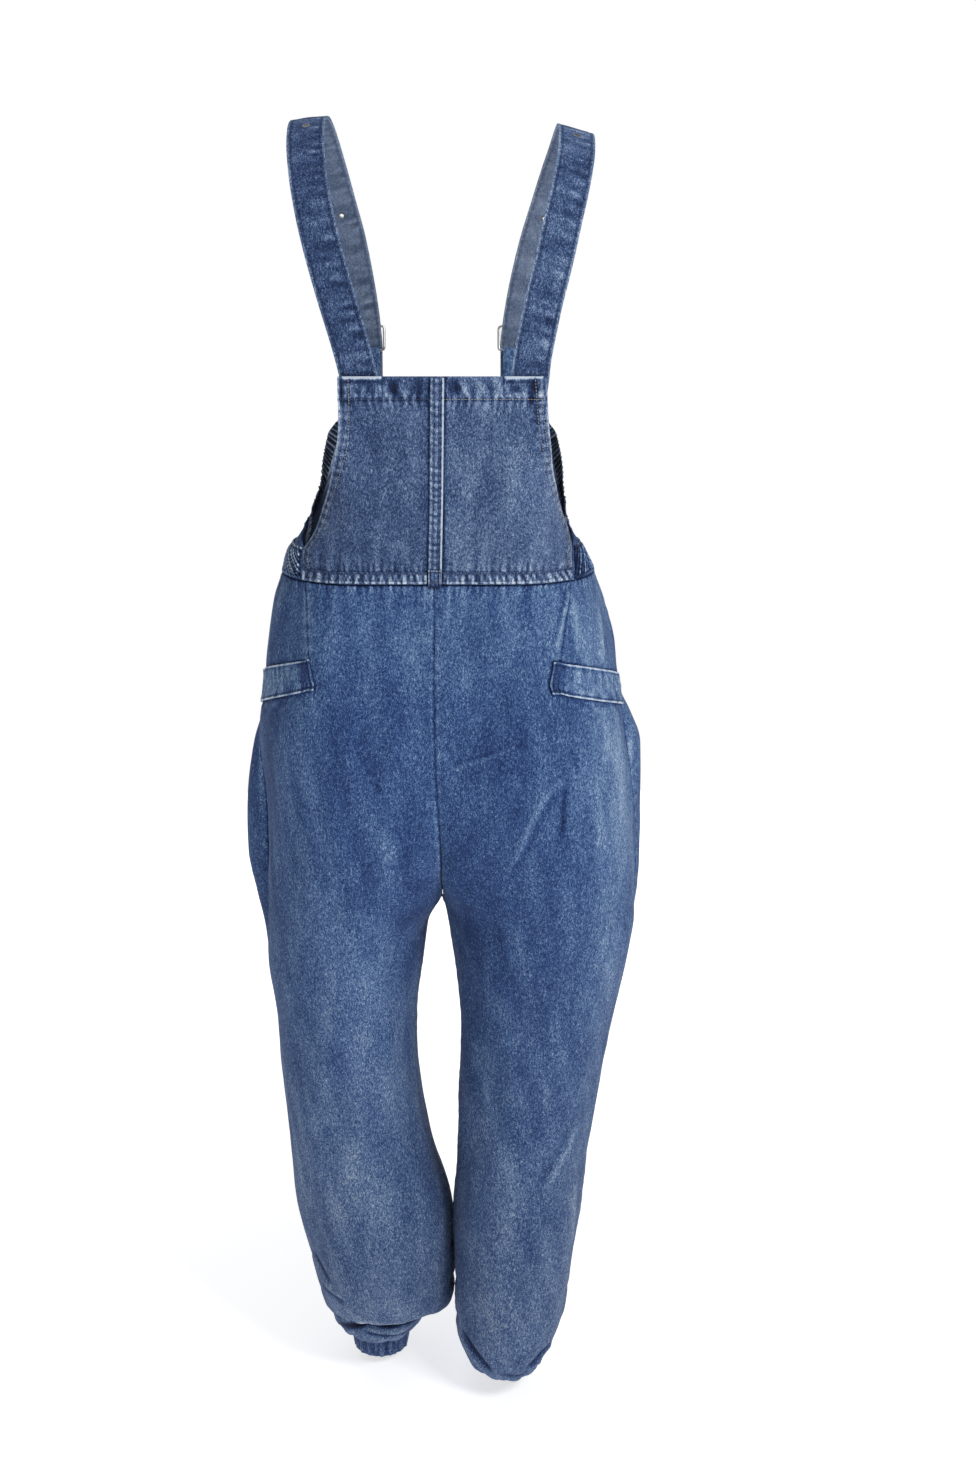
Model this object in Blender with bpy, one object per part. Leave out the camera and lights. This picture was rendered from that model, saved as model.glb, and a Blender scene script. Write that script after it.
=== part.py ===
"""Denim dungarees: an open, hollow garment in its worn pose, hung from the shoulders.

Frame: +Z up, the garment's front faces -Y, its back +Y, the wearer's left is +X.
Origin: midway between the two shoulders, at the mean height of the straps' undersides.
Every length below is in millimetres; bodies are scaled to metres when they are made.
"""

import math

import bpy
import numpy as np

MM = 0.001
SEAM = 0.3              # clear space between two pieces that are sewn together
DENIM = 1.5             # wall of one layer of denim
HEM = 3.0               # wall where the cloth is turned and stitched
STRAP_THICK = 2.6       # strap, two layers
STRAP_WIDTH = 38.0
STRAP_CELLS = 4         # cells across a strap
TRIM = 1.6              # wall of a piece laid on top of a panel
ELASTIC = 1.3           # wall of an elastic channel

BIB_TOP = -245.3        # top edge of the back bib
BIB_HEM = 22.0          # depth of the turned hem of both bibs
FRONT_TOP = -257.0      # top edge of the front bib
WAIST = -453.5          # seam between bibs and trousers
SIDE_TOP = -423.0       # top of the side bands, and lower corner of the back bib
STRIP_HALF = 7.2        # half width of the centre back strip
FELL = 12.0             # height of the felled seam above the waist

# Half sections of the upper body, by height. side_l and side_r: half widths; back and front:
# depths at the centre; flat_b and flat_f: how much of the half width stays flat.
TORSO_COLUMNS = ("z", "side_l", "side_r", "back", "front", "flat_b", "flat_f")
TORSO = (
    (-225.0, 152, 160, 100.5, -117.0, 0.74, 0.74),
    (-270.0, 148, 156, 98.5, -117.0, 0.72, 0.72),
    (-320.0, 138, 146, 92.0, -110.0, 0.64, 0.62),
    (-368.0, 130, 137, 89.0, -103.0, 0.56, 0.54),
    (-404.0, 143, 142, 95.5, -99.0, 0.51, 0.49),
    (-430.0, 160, 156, 103.0, -98.5, 0.47, 0.46),
    (-453.5, 168, 168, 110.0, -100.0, 0.45, 0.45),
    (-480.0, 179, 178, 117.5, -106.5, 0.45, 0.45),
)

# Edge of the back bib, left and right, by height.
BIB_EDGE_L = ((-245.3, 97.2), (-304.0, 98.6), (-349.0, 107.8), (-383.0, 119.0), (-411.0, 131.0),
              (-423.0, 139.0), (-453.5, 138.0))
BIB_EDGE_R = ((-245.3, 112.5), (-304.0, 117.2), (-349.0, 123.6), (-383.0, 132.0), (-411.0, 141.0),
              (-423.0, 143.0), (-453.5, 141.0))
# Centre back line, by height.
CENTRE = ((-245.3, -2.8), (-350.0, -1.0), (-453.5, 0.8), (-640.0, 0.8), (-730.0, -3.0), (-822.0, -4.0))
# Side edge of the front bib as a station round the half ring: 0 centre back, 1 side, 2 centre front.
FRONT_EDGE = ((-257.0, 1.60), (-275.0, 1.58), (-295.0, 1.53), (-320.0, 1.45), (-345.0, 1.33),
              (-365.0, 1.18), (-385.0, 1.00), (-400.0, 0.87), (-412.0, 0.77), (-423.0, 0.70))

# One leg and its half of the hips, from the waist seam to the cuff. in: inner edge (centre line
# or inseam); rise_b, rise_f: depth of that edge on the back and front panel; turn: degrees the
# section leaves that edge towards the back; seam, seam_y: side seam; lobe: how far the front
# panel stands out past it; back, front: depths; drop: how much lower the row is at the side.
LEG_COLUMNS = ("z", "in", "rise_b", "rise_f", "turn", "seam", "seam_y", "lobe", "back", "front", "drop")
LEG_L = (
    (-453.5, 0, 110, -100, 0, 168, 0, 0, 110, -100, 0),
    (-480.0, 0, 117, -106, 0, 179, 0, 0, 117.5, -106.5, 2),
    (-515.0, 0, 124, -111, 0, 186, 0, 0, 125.5, -112, 14),
    (-554.0, 0, 130, -114, 0, 191, 1, 1, 132.5, -116, 33),
    (-596.0, 0, 133, -115, 0, 196, 3, 4, 137, -118, 22),
    (-640.0, 0, 133, -114, 0, 197, 4, 13, 138.5, -120, 8),
    (-684.0, 0, 130, -109, 8, 194, 5, 21, 138, -121, 0),
    (-726.0, 0, 122, -99, 25, 193, 5, 25, 136.5, -121, 0),
    (-762.0, 0, 108, -84, 45, 194, 5, 25, 134, -121, 0),
    (-792.0, 0, 82, -60, 65, 195, 5, 24, 131, -120, 0),
    (-812.0, 0, 48, -26, 80, 195, 5, 22, 128.5, -119, 0),
    (-824.0, 2, 14, 14, 90, 195, 5, 20, 127, -118, 0),
    (-850.0, 14, 14, 14, 90, 195, 5, 16, 124, -116, 0),
    (-900.0, 21, 14, 14, 90, 196, 5, 6, 118, -112, 0),
    (-957.0, 27, 13, 13, 90, 190, 4, 0, 112, -106, 0),
    (-1020.0, 27, 12, 12, 90, 187, 3, 0, 106, -100, 0),
    (-1084.0, 20, 9, 9, 90, 183, 2, 0, 102, -95, 0),
    (-1145.0, 9, 5, 5, 90, 178, 0, 0, 99, -92, 0),
    (-1200.0, -8, 1, 1, 90, 174, -3, 0, 97, -92, 0),
    (-1262.0, -11, -4, -4, 90, 163, -8, 0, 92, -92, 2),
    (-1300.0, -11, -7, -7, 90, 156, -10, 0, 86, -92, 8),
    (-1326.0, -10, -9, -9, 90, 149, -11, 0, 78, -92, 14),
    (-1339.0, -3, -10, -10, 90, 143, -12, 0, 66, -90, 17),
    (-1341.0, 11, -12, -12, 90, 137, -13, 0, 51, -85, 17),
    (-1352.0, 20, -14, -14, 90, 137, -14, 0, 56, -84, 15),
    (-1367.0, 27, -16, -16, 90, 132, -16, 0, 52, -80, 12),
    (-1378.0, 33, -18, -18, 90, 125, -18, 0, 43, -74, 8),
    (-1387.5, 38, -20, -20, 90, 118, -20, 0, 28, -66, 3),
    (-1388.0, 41.8, -22, -22, 90, 114.2, -22, 0, 14.2, -58.2, 0),
)
LEG_R = (
    (-453.5, 0, 110, -100, 0, 168, 0, 0, 110, -100, 0),
    (-480.0, 0, 117, -106, 0, 178, 0, 0, 117.5, -106.5, 2),
    (-515.0, 0, 124, -111, 0, 190, 0, 1, 125.5, -112, 14),
    (-554.0, 0, 130, -114, 0, 198, 1, 4, 132.5, -116, 33),
    (-596.0, 0, 133, -115, 0, 203, 3, 12, 137, -118, 22),
    (-640.0, 0, 133, -114, 0, 208, 4, 17, 138.5, -120, 8),
    (-684.0, 0, 130, -109, 8, 214, 5, 14, 138, -121, 0),
    (-726.0, 0, 122, -99, 25, 218, 5, 11, 136.5, -121, 0),
    (-762.0, 0, 108, -84, 45, 220, 5, 9, 134, -121, 0),
    (-792.0, 0, 82, -60, 65, 221, 5, 8, 131, -120, 0),
    (-812.0, 0, 48, -26, 80, 221, 5, 7, 128.5, -119, 0),
    (-824.0, 2, 14, 14, 90, 221, 5, 7, 127, -118, 0),
    (-850.0, 10, 15, 15, 90, 221, 6, 3, 125, -115, 0),
    (-900.0, 18, 16, 16, 90, 213, 8, 0, 121, -109, 0),
    (-957.0, 23, 17, 17, 90, 200, 10, 0, 116, -102, 0),
    (-1020.0, 22, 19, 19, 90, 189, 12, 0, 112, -95, 0),
    (-1084.0, 20, 21, 21, 90, 178, 14, 0, 109, -89, 0),
    (-1149.0, 19, 23, 23, 90, 168, 16, 0, 108, -84, 0),
    (-1214.0, 17, 25, 25, 90, 163, 18, 0, 108, -80, 0),
    (-1270.0, 16, 27, 27, 90, 155, 20, 0, 108, -76, 0),
    (-1312.0, 15, 28, 28, 90, 150, 22, 0, 108, -72, 0),
    (-1345.0, 15, 29, 29, 90, 144, 24, 0, 106, -66, 0),
    (-1372.0, 18, 30, 30, 90, 135, 26, 0, 101, -58, 2),
    (-1390.0, 26, 31, 31, 90, 125, 28, 0, 93, -48, 4),
    (-1401.0, 32, 32, 32, 90, 120, 30, 0, 83, -32, 3),
    (-1403.5, 37, 32, 32, 90, 117, 31, 0, 75, -14, 1),
    (-1397.0, 41.8, 32, 32, 90, 114.2, 32, 0, 68.2, -4.2, 0),
)
CROTCH_ROW = 11         # first row of the table in which the leg is a closed ring
HIP_ROWS = 3            # rows of the side hip panel, down to the pocket welt
HALF_CELLS = 14         # cells of a panel, from centre line to side seam
HIP_CELLS = 9           # cells from the centre back to the hip seam
HIP_SEAM_L = (136.5, 130.0)  # hip seam from the centre, at the waist and at the pocket welt
HIP_SEAM_R = (141.0, 127.0)
GATHER = (0.0, 1.6, 2.0, 1.2)   # their height, from the seam with the cuff upwards

# Pocket welts: corners across the hips (x) and in height, from the inner top, clockwise.
WELT_L = ((129.5, -533.0), (190.0, -569.0), (196.0, -604.0), (123.5, -570.0))
WELT_R = ((124.0, -534.0), (199.0, -568.0), (205.0, -598.0), (125.0, -571.0))

# Elastic cuffs: centre x, centre y, radius at the top and at the bottom, top, bottom.
CUFF_L = (78.0, -22.0, 33.8, 29.5, -1388.3, -1420.0)
CUFF_R = (-78.0, 32.0, 33.8, 32.0, -1397.3, -1411.0)
CUFF_WAVES = 22
CUFF_WAVE = 1.5
EDGE_WAVES = 34         # ruching of one elastic side edge
EDGE_WAVE = 1.3
EDGE_WIDTH = 13.0
EDGE_TUCK = 4.4         # how far each elastic edge passes under the back bib's corner

# Straps, outer face: depth, height, left x, right x (both positive), drop of the right strap,
# and roll of each strap about its own length, in degrees (outer edge down).
STRAP_COLUMNS = ("y", "z", "x_l", "x_r", "drop_r", "roll_l", "roll_r")
STRAP = (
    (94.6, -265.5, 71.0, 93.5, 0, 0, 0),
    (95.8, -248.0, 75.5, 96.5, 0, 0, 0),
    (99.5, -226.0, 80.3, 98.7, 0, 0, 0),
    (104.0, -200.0, 87.0, 103.5, 0, 1, 1),
    (107.0, -172.0, 95.0, 109.2, 0, 2, 2),
    (107.0, -145.0, 102.4, 115.8, 1, 2, 4),
    (103.5, -117.2, 109.8, 122.0, 3, 3, 6),
    (97.0, -87.4, 116.8, 128.3, 5, 4, 9),
    (86.0, -55.2, 122.8, 135.5, 7, 5, 12),
    (69.0, -24.3, 126.8, 141.3, 8, 6, 14),
    (49.0, -4.5, 128.0, 143.2, 9, 6, 15),
    (26.0, 6.3, 128.2, 143.5, 10, 6, 15),
    (2.0, 10.4, 127.2, 143.0, 10, 6, 15),
    (-23.0, 4.8, 125.0, 141.0, 9, 5, 13),
    (-47.0, -11.7, 121.0, 136.0, 8, 4, 11),
    (-68.0, -37.0, 115.0, 128.0, 6, 3, 8),
    (-86.0, -69.1, 107.5, 118.5, 4, 2, 5),
    (-100.0, -104.5, 99.0, 108.0, 2, 1, 2),
    (-111.0, -147.0, 91.5, 98.0, 0, 0, 0),
    (-118.5, -184.0, 86.5, 91.0, 0, 0, 0),
    (-124.5, -215.0, 84.0, 87.0, 0, 0, 0),
    (-126.0, -231.0, 84.0, 87.0, 0, 0, 0),
    (-124.5, -255.0, 84.0, 87.0, 0, 0, 0),
    (-124.2, -277.0, 84.0, 87.0, 0, 0, 0),
)
EYELETS = (10.3, 13.4, 16.3, 20.12)   # stations along the strap rows
EYELET_OUTER = 4.7
EYELET_BORE = 2.1
HOLE = 2.9
BAR = 1.5               # half thickness of the buckle's wire
BUCKLE_HALF = 22.0      # half width of the buckle between the centres of its side bars
BUCKLE_TOP = -197.5     # height of the buckle's upper bar
BUCKLE_LOW = -224.0     # height of the bar that the tab holds
TAB_HALF = 17.5
TAB_SLOT = 3.6
TAB_THICK = 1.2
PRONG = 1.0
SKIN = 0.45             # lift of a piece that lies flat on a panel
STRIP_LIFT = 0.4        # lift of the centre back strip
WELT_LIFT = 1.0         # lift of a pocket welt, which crosses a seam
FELL_THICK = 1.0        # wall of the felled waist seam
TAB_BACK_HALF = 7.2     # half width of the small tab over the centre of the waist seam
BORE_REACH = 6.0        # half length of the cutter of an eyelet's hole
HOLE_SIDES = 14
LEG_FLAT = 0.45         # share of a leg panel's width that stays flat
BUCKLE_CORNER = 3.0     # bend radius of the buckle's wire
BAR_GAP = 1.3           # clear space between the upper bar and the strap
TAB_GAP = 0.7           # clear space between the strap and its tab
WIRE_GAP = 0.45         # clear space between the lower bar and the tab folded round it
COIL_GAP = 0.35         # clear space between the lower bar and the prong coiled round it

DENIM_BLUE = (0.075, 0.125, 0.245)
DENIM_LIGHT = (0.095, 0.150, 0.270)
DENIM_DARK = (0.045, 0.075, 0.150)
STEEL = (0.62, 0.62, 0.60)


def clear_scene():
    """Start from an empty scene."""
    for item in list(bpy.data.objects):
        bpy.data.objects.remove(item, do_unlink=True)


def paint(name, colour, roughness, metallic=0.0):
    """A Principled material."""
    material = bpy.data.materials.new(name)
    material.use_nodes = True
    shader = material.node_tree.nodes["Principled BSDF"]
    shader.inputs["Base Color"].default_value = (*colour, 1.0)
    shader.inputs["Roughness"].default_value = roughness
    shader.inputs["Metallic"].default_value = metallic
    return material


def body(name, points, faces, material, sharp=50.0):
    """A closed body from points in millimetres, faces turned outwards."""
    mesh = bpy.data.meshes.new(name)
    mesh.from_pydata([tuple(float(v) * MM for v in point) for point in points], [], faces)
    mesh.validate()
    turn_outwards(mesh)
    mesh.materials.append(material)
    mesh.polygons.foreach_set("use_smooth", [True] * len(mesh.polygons))
    mesh.set_sharp_from_angle(angle=math.radians(sharp))
    item = bpy.data.objects.new(name, mesh)
    bpy.context.scene.collection.objects.link(item)
    return item


def turn_outwards(mesh):
    """Flip every face of a consistently wound mesh when its volume is negative."""
    volume = 0.0
    for face in mesh.polygons:
        corner = [mesh.vertices[i].co for i in face.vertices]
        for k in range(1, len(corner) - 1):
            volume += corner[0].dot(corner[k].cross(corner[k + 1]))
    if volume < 0:
        mesh.flip_normals()


def smooth_table(keys, values, at):
    """Hermite interpolation of table columns; keys run one way, either up or down."""
    keys = np.asarray(keys, float)
    values = np.asarray(values, float)
    if keys[0] > keys[-1]:
        keys = keys[::-1]
        values = values[::-1]
    at = np.clip(at, keys[0], keys[-1])
    k = int(np.clip(np.searchsorted(keys, at) - 1, 0, len(keys) - 2))
    span = keys[k + 1] - keys[k]
    t = (at - keys[k]) / span
    chord = (values[k + 1] - values[k]) / span
    before = (values[k] - values[k - 1]) / (keys[k] - keys[k - 1]) if k > 0 else chord
    after = (values[k + 2] - values[k + 1]) / (keys[k + 2] - keys[k + 1]) if k + 2 < len(keys) else chord
    m0 = 0.5 * (before + chord) * span
    m1 = 0.5 * (chord + after) * span
    return (values[k] * (2 * t**3 - 3 * t**2 + 1) + m0 * (t**3 - 2 * t**2 + t)
            + values[k + 1] * (3 * t**2 - 2 * t**3) + m1 * (t**3 - t**2))


def column_at(pairs, at):
    """Value of a two-column table at a key."""
    return float(smooth_table([p[0] for p in pairs], [p[1] for p in pairs], at))


def arc(p0, p1, p2, p3, count=20):
    """A cubic curve through the plane."""
    t = np.linspace(0, 1, count + 1)[:, None]
    p0, p1, p2, p3 = (np.asarray(p, float) for p in (p0, p1, p2, p3))
    return (1 - t)**3 * p0 + 3 * (1 - t)**2 * t * p1 + 3 * (1 - t) * t * t * p2 + t**3 * p3


def back_curve(inner, turn, flat, edge, back, seam, seam_y):
    """Centre back (or inseam) to side seam, in plan."""
    peak = edge + flat * (seam - edge)
    angle = math.radians(turn)
    reach = (1 - turn / 90) * 0.5 * (peak - edge) + turn / 90 * 0.55 * abs(back - inner)
    first = arc((edge, inner), (edge + reach * math.cos(angle), inner + reach * math.sin(angle)),
                (peak - 0.5 * (peak - edge), back), (peak, back))
    second = arc((peak, back), (peak + 0.62 * (seam - peak), back),
                 (seam, seam_y + 0.5 * (back - seam_y)), (seam, seam_y))
    return np.vstack((first, second[1:]))


def front_curve(inner, turn, flat, edge, front, seam, seam_y, lobe):
    """Side seam to centre front (or inseam), in plan."""
    peak = edge + flat * (seam - edge)
    angle = math.radians(turn)
    reach = (1 - turn / 90) * 0.5 * (peak - edge) + turn / 90 * 0.55 * abs(front - inner)
    first = arc((seam, seam_y), (seam + 3.3 * lobe, seam_y + 0.5 * (front - seam_y) + 0.9 * lobe),
                (peak + 0.62 * (seam - peak), front), (peak, front))
    second = arc((peak, front), (peak - 0.5 * (peak - edge), front),
                 (edge + reach * math.cos(angle), inner - reach * math.sin(angle)), (edge, inner))
    return np.vstack((first, second[1:]))


def along(curve, fractions):
    """Points of a polyline at fractions of its length."""
    steps = np.linalg.norm(np.diff(curve, axis=0), axis=1)
    length = np.concatenate(([0.0], np.cumsum(steps)))
    length /= length[-1]
    return np.stack([np.interp(fractions, length, curve[:, k]) for k in range(curve.shape[1])], axis=1)


def torso_curves(z, side):
    """Back and front plan curves of one half at a height; side +1 is the wearer's left."""
    row = dict(zip(TORSO_COLUMNS, smooth_table([r[0] for r in TORSO], TORSO, z)))
    width = row["side_l"] if side > 0 else row["side_r"]
    back = back_curve(row["back"], 0, row["flat_b"], 0.0, row["back"], width, 0.0)
    front = front_curve(row["front"], 0, row["flat_f"], 0.0, row["front"], width, 0.0, 0.0)
    return back, front


def torso_point(z, station, side):
    """A point of the upper body; station 0 centre back, 1 side, 2 centre front."""
    back, front = torso_curves(z, side)
    curve, fraction = (back, station) if station <= 1 else (front, station - 1)
    x, y = along(curve, np.array([fraction]))[0]
    return np.array([side * x, y, z])


def back_point(x, z):
    """The point of the upper back at a signed x and a height."""
    side = 1 if x >= 0 else -1
    curve = torso_curves(z, side)[0]
    return np.array([x, np.interp(abs(x), curve[:, 0], curve[:, 1]), z])


def front_point(x, z):
    """The point of the chest at a signed x and a height."""
    side = 1 if x >= 0 else -1
    curve = torso_curves(z, side)[1][::-1]
    return np.array([x, np.interp(abs(x), curve[:, 0], curve[:, 1]), z])


def station_of(x, z, side):
    """Station round the back at which the upper body has a given half width."""
    curve = torso_curves(z, side)[0]
    steps = np.linalg.norm(np.diff(curve, axis=0), axis=1)
    length = np.concatenate(([0.0], np.cumsum(steps)))
    return float(np.interp(x, curve[:, 0], length / length[-1]))


def grid_normals(points, sign, wrap=False):
    """Unit normals of a grid of points."""
    if wrap:
        across = np.roll(points, -1, axis=1) - np.roll(points, 1, axis=1)
    else:
        across = np.gradient(points, axis=1)
    down = np.gradient(points, axis=0)
    normal = np.cross(across, down) * sign
    return normal / np.linalg.norm(normal, axis=2, keepdims=True)


def unit(vector):
    """A vector of length one."""
    return vector / np.linalg.norm(vector)


def boundary(cells, columns, wrap):
    """Edges of a set of grid cells that no second cell shares: (cell, start, end)."""
    found = []
    rows, count = cells.shape
    for i, j in zip(*np.nonzero(cells)):
        ring = ((i, j), (i, (j + 1) % columns), (i + 1, (j + 1) % columns), (i + 1, j))
        for k, (di, dj) in enumerate(((-1, 0), (0, 1), (1, 0), (0, -1))):
            ni = i + di
            nj = (j + dj) % count if wrap else j + dj
            if 0 <= ni < rows and 0 <= nj < count and cells[ni, nj]:
                continue
            found.append((ring, ring[k], ring[(k + 1) % 4]))
    return found


def inset(points, edges, gap):
    """Move the outline of a piece inwards, in its own surface."""
    pushes = {}
    for ring, start, end in edges:
        middle = np.mean([points[v] for v in ring], axis=0)
        line = unit(points[end] - points[start])
        inward = middle - points[start]
        inward = unit(inward - line * np.dot(inward, line))
        for corner in (start, end):
            pushes.setdefault(corner, []).append(inward)
    moved = points.copy()
    for corner, ways in pushes.items():
        first, last = ways[0], ways[-1]
        moved[corner] = points[corner] + (first + last) * gap / (1.0 + float(np.dot(first, last)))
    return moved


def sheet(name, points, normal, thick, material, cells=None, wrap=False, keep=None, gap=SEAM / 2):
    """A closed wall: a grid of outer points, thickened inwards, with rims round its outline."""
    columns = points.shape[1]
    if cells is None:
        cells = np.ones((points.shape[0] - 1, columns if wrap else columns - 1), bool)
    edges = boundary(cells, columns, wrap)
    outer = inset(points, edges, gap)
    wall = np.broadcast_to(np.asarray(thick, float), points.shape[:2])[..., None]
    inner = outer - normal * wall
    if keep is not None:
        outer = keep(outer)
        inner = keep(inner)
    number = {}
    for i, j in zip(*np.nonzero(cells)):
        for corner in ((i, j), (i, (j + 1) % columns), (i + 1, (j + 1) % columns), (i + 1, j)):
            number.setdefault(corner, len(number))
    total = len(number)
    places = [outer[v] for v in number] + [inner[v] for v in number]
    faces = []
    for i, j in zip(*np.nonzero(cells)):
        a = number[(i, j)]
        b = number[(i, (j + 1) % columns)]
        c = number[(i + 1, (j + 1) % columns)]
        d = number[(i + 1, j)]
        faces += [(a, b, c), (a, c, d)]
        faces += [(c + total, b + total, a + total), (d + total, c + total, a + total)]
    for _, start, end in edges:
        a, b = number[start], number[end]
        faces += [(b, a, a + total), (b, a + total, b + total)]
    return body(name, places, faces, material)


def patch(name, points, normal, lift, thick, material, cells=None, keep=None):
    """A piece laid on a surface: its points are the surface's, moved out."""
    return sheet(name, points + normal * (lift + thick), normal, thick, material, cells, keep=keep, gap=0.0)


def on_grid(points, normal, i, j):
    """A point and normal of a triangulated grid at fractional indices."""
    rows, columns = points.shape[:2]
    a = int(np.clip(math.floor(i), 0, rows - 2))
    b = int(np.clip(math.floor(j), 0, columns - 2))
    u, v = i - a, j - b
    if v >= u:
        weights = ((a, b, 1 - v), (a, b + 1, v - u), (a + 1, b + 1, u))
    else:
        weights = ((a, b, 1 - u), (a + 1, b + 1, v), (a + 1, b, u - v))
    place = sum(points[p, q] * w for p, q, w in weights)
    return place, unit(sum(normal[p, q] * w for p, q, w in weights))


def locate(points, x, z):
    """Fractional indices of the back point of a grid at a given |x| and height."""
    i, j = 2.0, 8.0
    rows, columns = points.shape[:2]
    row_numbers = np.arange(rows)
    column_numbers = np.arange(columns)
    for _ in range(12):
        b = int(np.clip(math.floor(j), 0, columns - 2))
        heights = points[:, b, 2] * (1 - (j - b)) + points[:, b + 1, 2] * (j - b)
        i = float(np.interp(-z, -heights[:14], row_numbers[:14]))
        a = int(np.clip(math.floor(i), 0, rows - 2))
        widths = np.abs(points[a, :, 0]) * (1 - (i - a)) + np.abs(points[a + 1, :, 0]) * (i - a)
        top = int(np.argmax(widths[:HALF_CELLS + 1])) + 1
        j = float(np.interp(x, widths[:top], column_numbers[:top]))
    return i, j


def leg_grid(table, side):
    """Outer face of one leg and its half of the hips: rows down, columns from the back's centre
    or inseam, round the side seam, to the front's."""
    hip_seam = HIP_SEAM_L if side > 0 else HIP_SEAM_R
    cells = HALF_CELLS
    grid = []
    for at, station in enumerate(table):
        row = dict(zip(LEG_COLUMNS, station))
        middle = side * column_at(CENTRE, row["z"])
        centre = middle * np.clip((CROTCH_ROW - at) / 2 + 0.5, 0, 1)
        edge = row["in"] + centre
        turn = float(np.clip(row["turn"], 0, 90))
        back = back_curve(row["rise_b"], turn, LEG_FLAT, edge, row["back"], row["seam"], row["seam_y"])
        front = front_curve(row["rise_f"], turn, LEG_FLAT, edge, row["front"], row["seam"], row["seam_y"],
                            row["lobe"])
        steps = np.linalg.norm(np.diff(back, axis=0), axis=1)
        length = np.concatenate(([0.0], np.cumsum(steps))) / steps.sum()
        even = HIP_CELLS / cells
        sewn_x = hip_seam[0] + (hip_seam[1] - hip_seam[0]) * min(at / HIP_ROWS, 1)
        sewn = float(np.interp(sewn_x, back[:, 0], length))
        share = float(np.clip((HIP_ROWS + 3 - at) / 3, 0, 1))
        knot = share * sewn + (1 - share) * even
        fractions = np.interp(np.arange(cells + 1), (0, HIP_CELLS, cells), (0, knot, 1))
        back = along(back, fractions)
        front = along(front, np.linspace(0, 1, cells + 1))
        plan = np.vstack((back, front[1:]))
        if at < CROTCH_ROW:
            ramp = np.concatenate((
                np.clip((np.arange(cells + 1) - HIP_CELLS) / (cells - HIP_CELLS), 0, 1),
                np.linspace(1, 0, cells + 1)[1:],
            ))
        else:
            ramp = np.clip((row["back"] - plan[:, 1]) / (row["back"] - row["seam_y"]), 0, 1)
        grid.append(np.stack((side * plan[:, 0], plan[:, 1], row["z"] - row["drop"] * ramp), axis=1))
    grid = np.array(grid)
    normal = grid_normals(grid, side)
    joined = normal[CROTCH_ROW:, 0] + normal[CROTCH_ROW:, -1]
    joined /= np.linalg.norm(joined, axis=1, keepdims=True)
    normal[CROTCH_ROW:, 0] = joined
    normal[CROTCH_ROW:, -1] = joined
    return grid, normal


def gathered(grid, normal):
    """Alternate columns of the last rows moved in and out: the gathers above the cuff."""
    rows, columns = grid.shape[:2]
    wave = np.cos(math.pi * np.arange(columns))
    moved = grid.copy()
    for k, height in enumerate(GATHER):
        i = rows - 1 - k
        moved[i] = grid[i] + normal[i] * (wave * height)[:, None]
    return moved


def keeper(side):
    """A function that holds points of one half on their own side of the centre line."""
    def keep(points):
        held = points.copy()
        for index in np.ndindex(points.shape[:2]):
            x, _, z = points[index]
            if z > LEG_L[CROTCH_ROW][0] - 1.0:
                middle = column_at(CENTRE, z)
                held[index][0] = middle + side * max(side * (x - middle), SEAM / 2)
        return held
    return keep


def make_legs(blue):
    """Back, front and side hip panels of both halves; returns the outer grids by side."""
    grids = {}
    for side, table, word in ((1, LEG_L, "left"), (-1, LEG_R, "right")):
        grid, normal = leg_grid(table, side)
        grid = gathered(grid, normal)
        rows = grid.shape[0] - 1
        panels = {"back_leg": np.zeros((rows, 2 * HALF_CELLS), bool)}
        panels["front_leg"] = panels["back_leg"].copy()
        panels["hip_side"] = panels["back_leg"].copy()
        panels["back_leg"][:, :HALF_CELLS] = True
        panels["back_leg"][:HIP_ROWS, HIP_CELLS:HALF_CELLS] = False
        panels["hip_side"][:HIP_ROWS, HIP_CELLS:HALF_CELLS] = True
        panels["front_leg"][:, HALF_CELLS:] = True
        for name, cells in panels.items():
            sheet(f"{name}_{word}", grid, normal, DENIM, blue, cells, keep=keeper(side))
        grids[side] = (grid, normal)
    return grids


def make_welts(grids, blue):
    """Pocket welts, laid on the hip seam between side panel and back leg."""
    for side, corners, word in ((1, WELT_L, "left"), (-1, WELT_R, "right")):
        grid, normal = grids[side]
        top_in, top_out, low_out, low_in = (np.array(locate(grid, *corner)) for corner in corners)
        laid = []
        for down in np.linspace(0, 1, 5):
            inner = top_in + (low_in - top_in) * down
            outer = top_out + (low_out - top_out) * down
            outer[1] = HALF_CELLS - 0.06
            laid.append([on_grid(grid, normal, *(inner + (outer - inner) * out))
                         for out in np.linspace(0, 1, 14)])
        patch(f"pocket_welt_{word}", *split(laid), WELT_LIFT, TRIM, blue)


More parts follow.
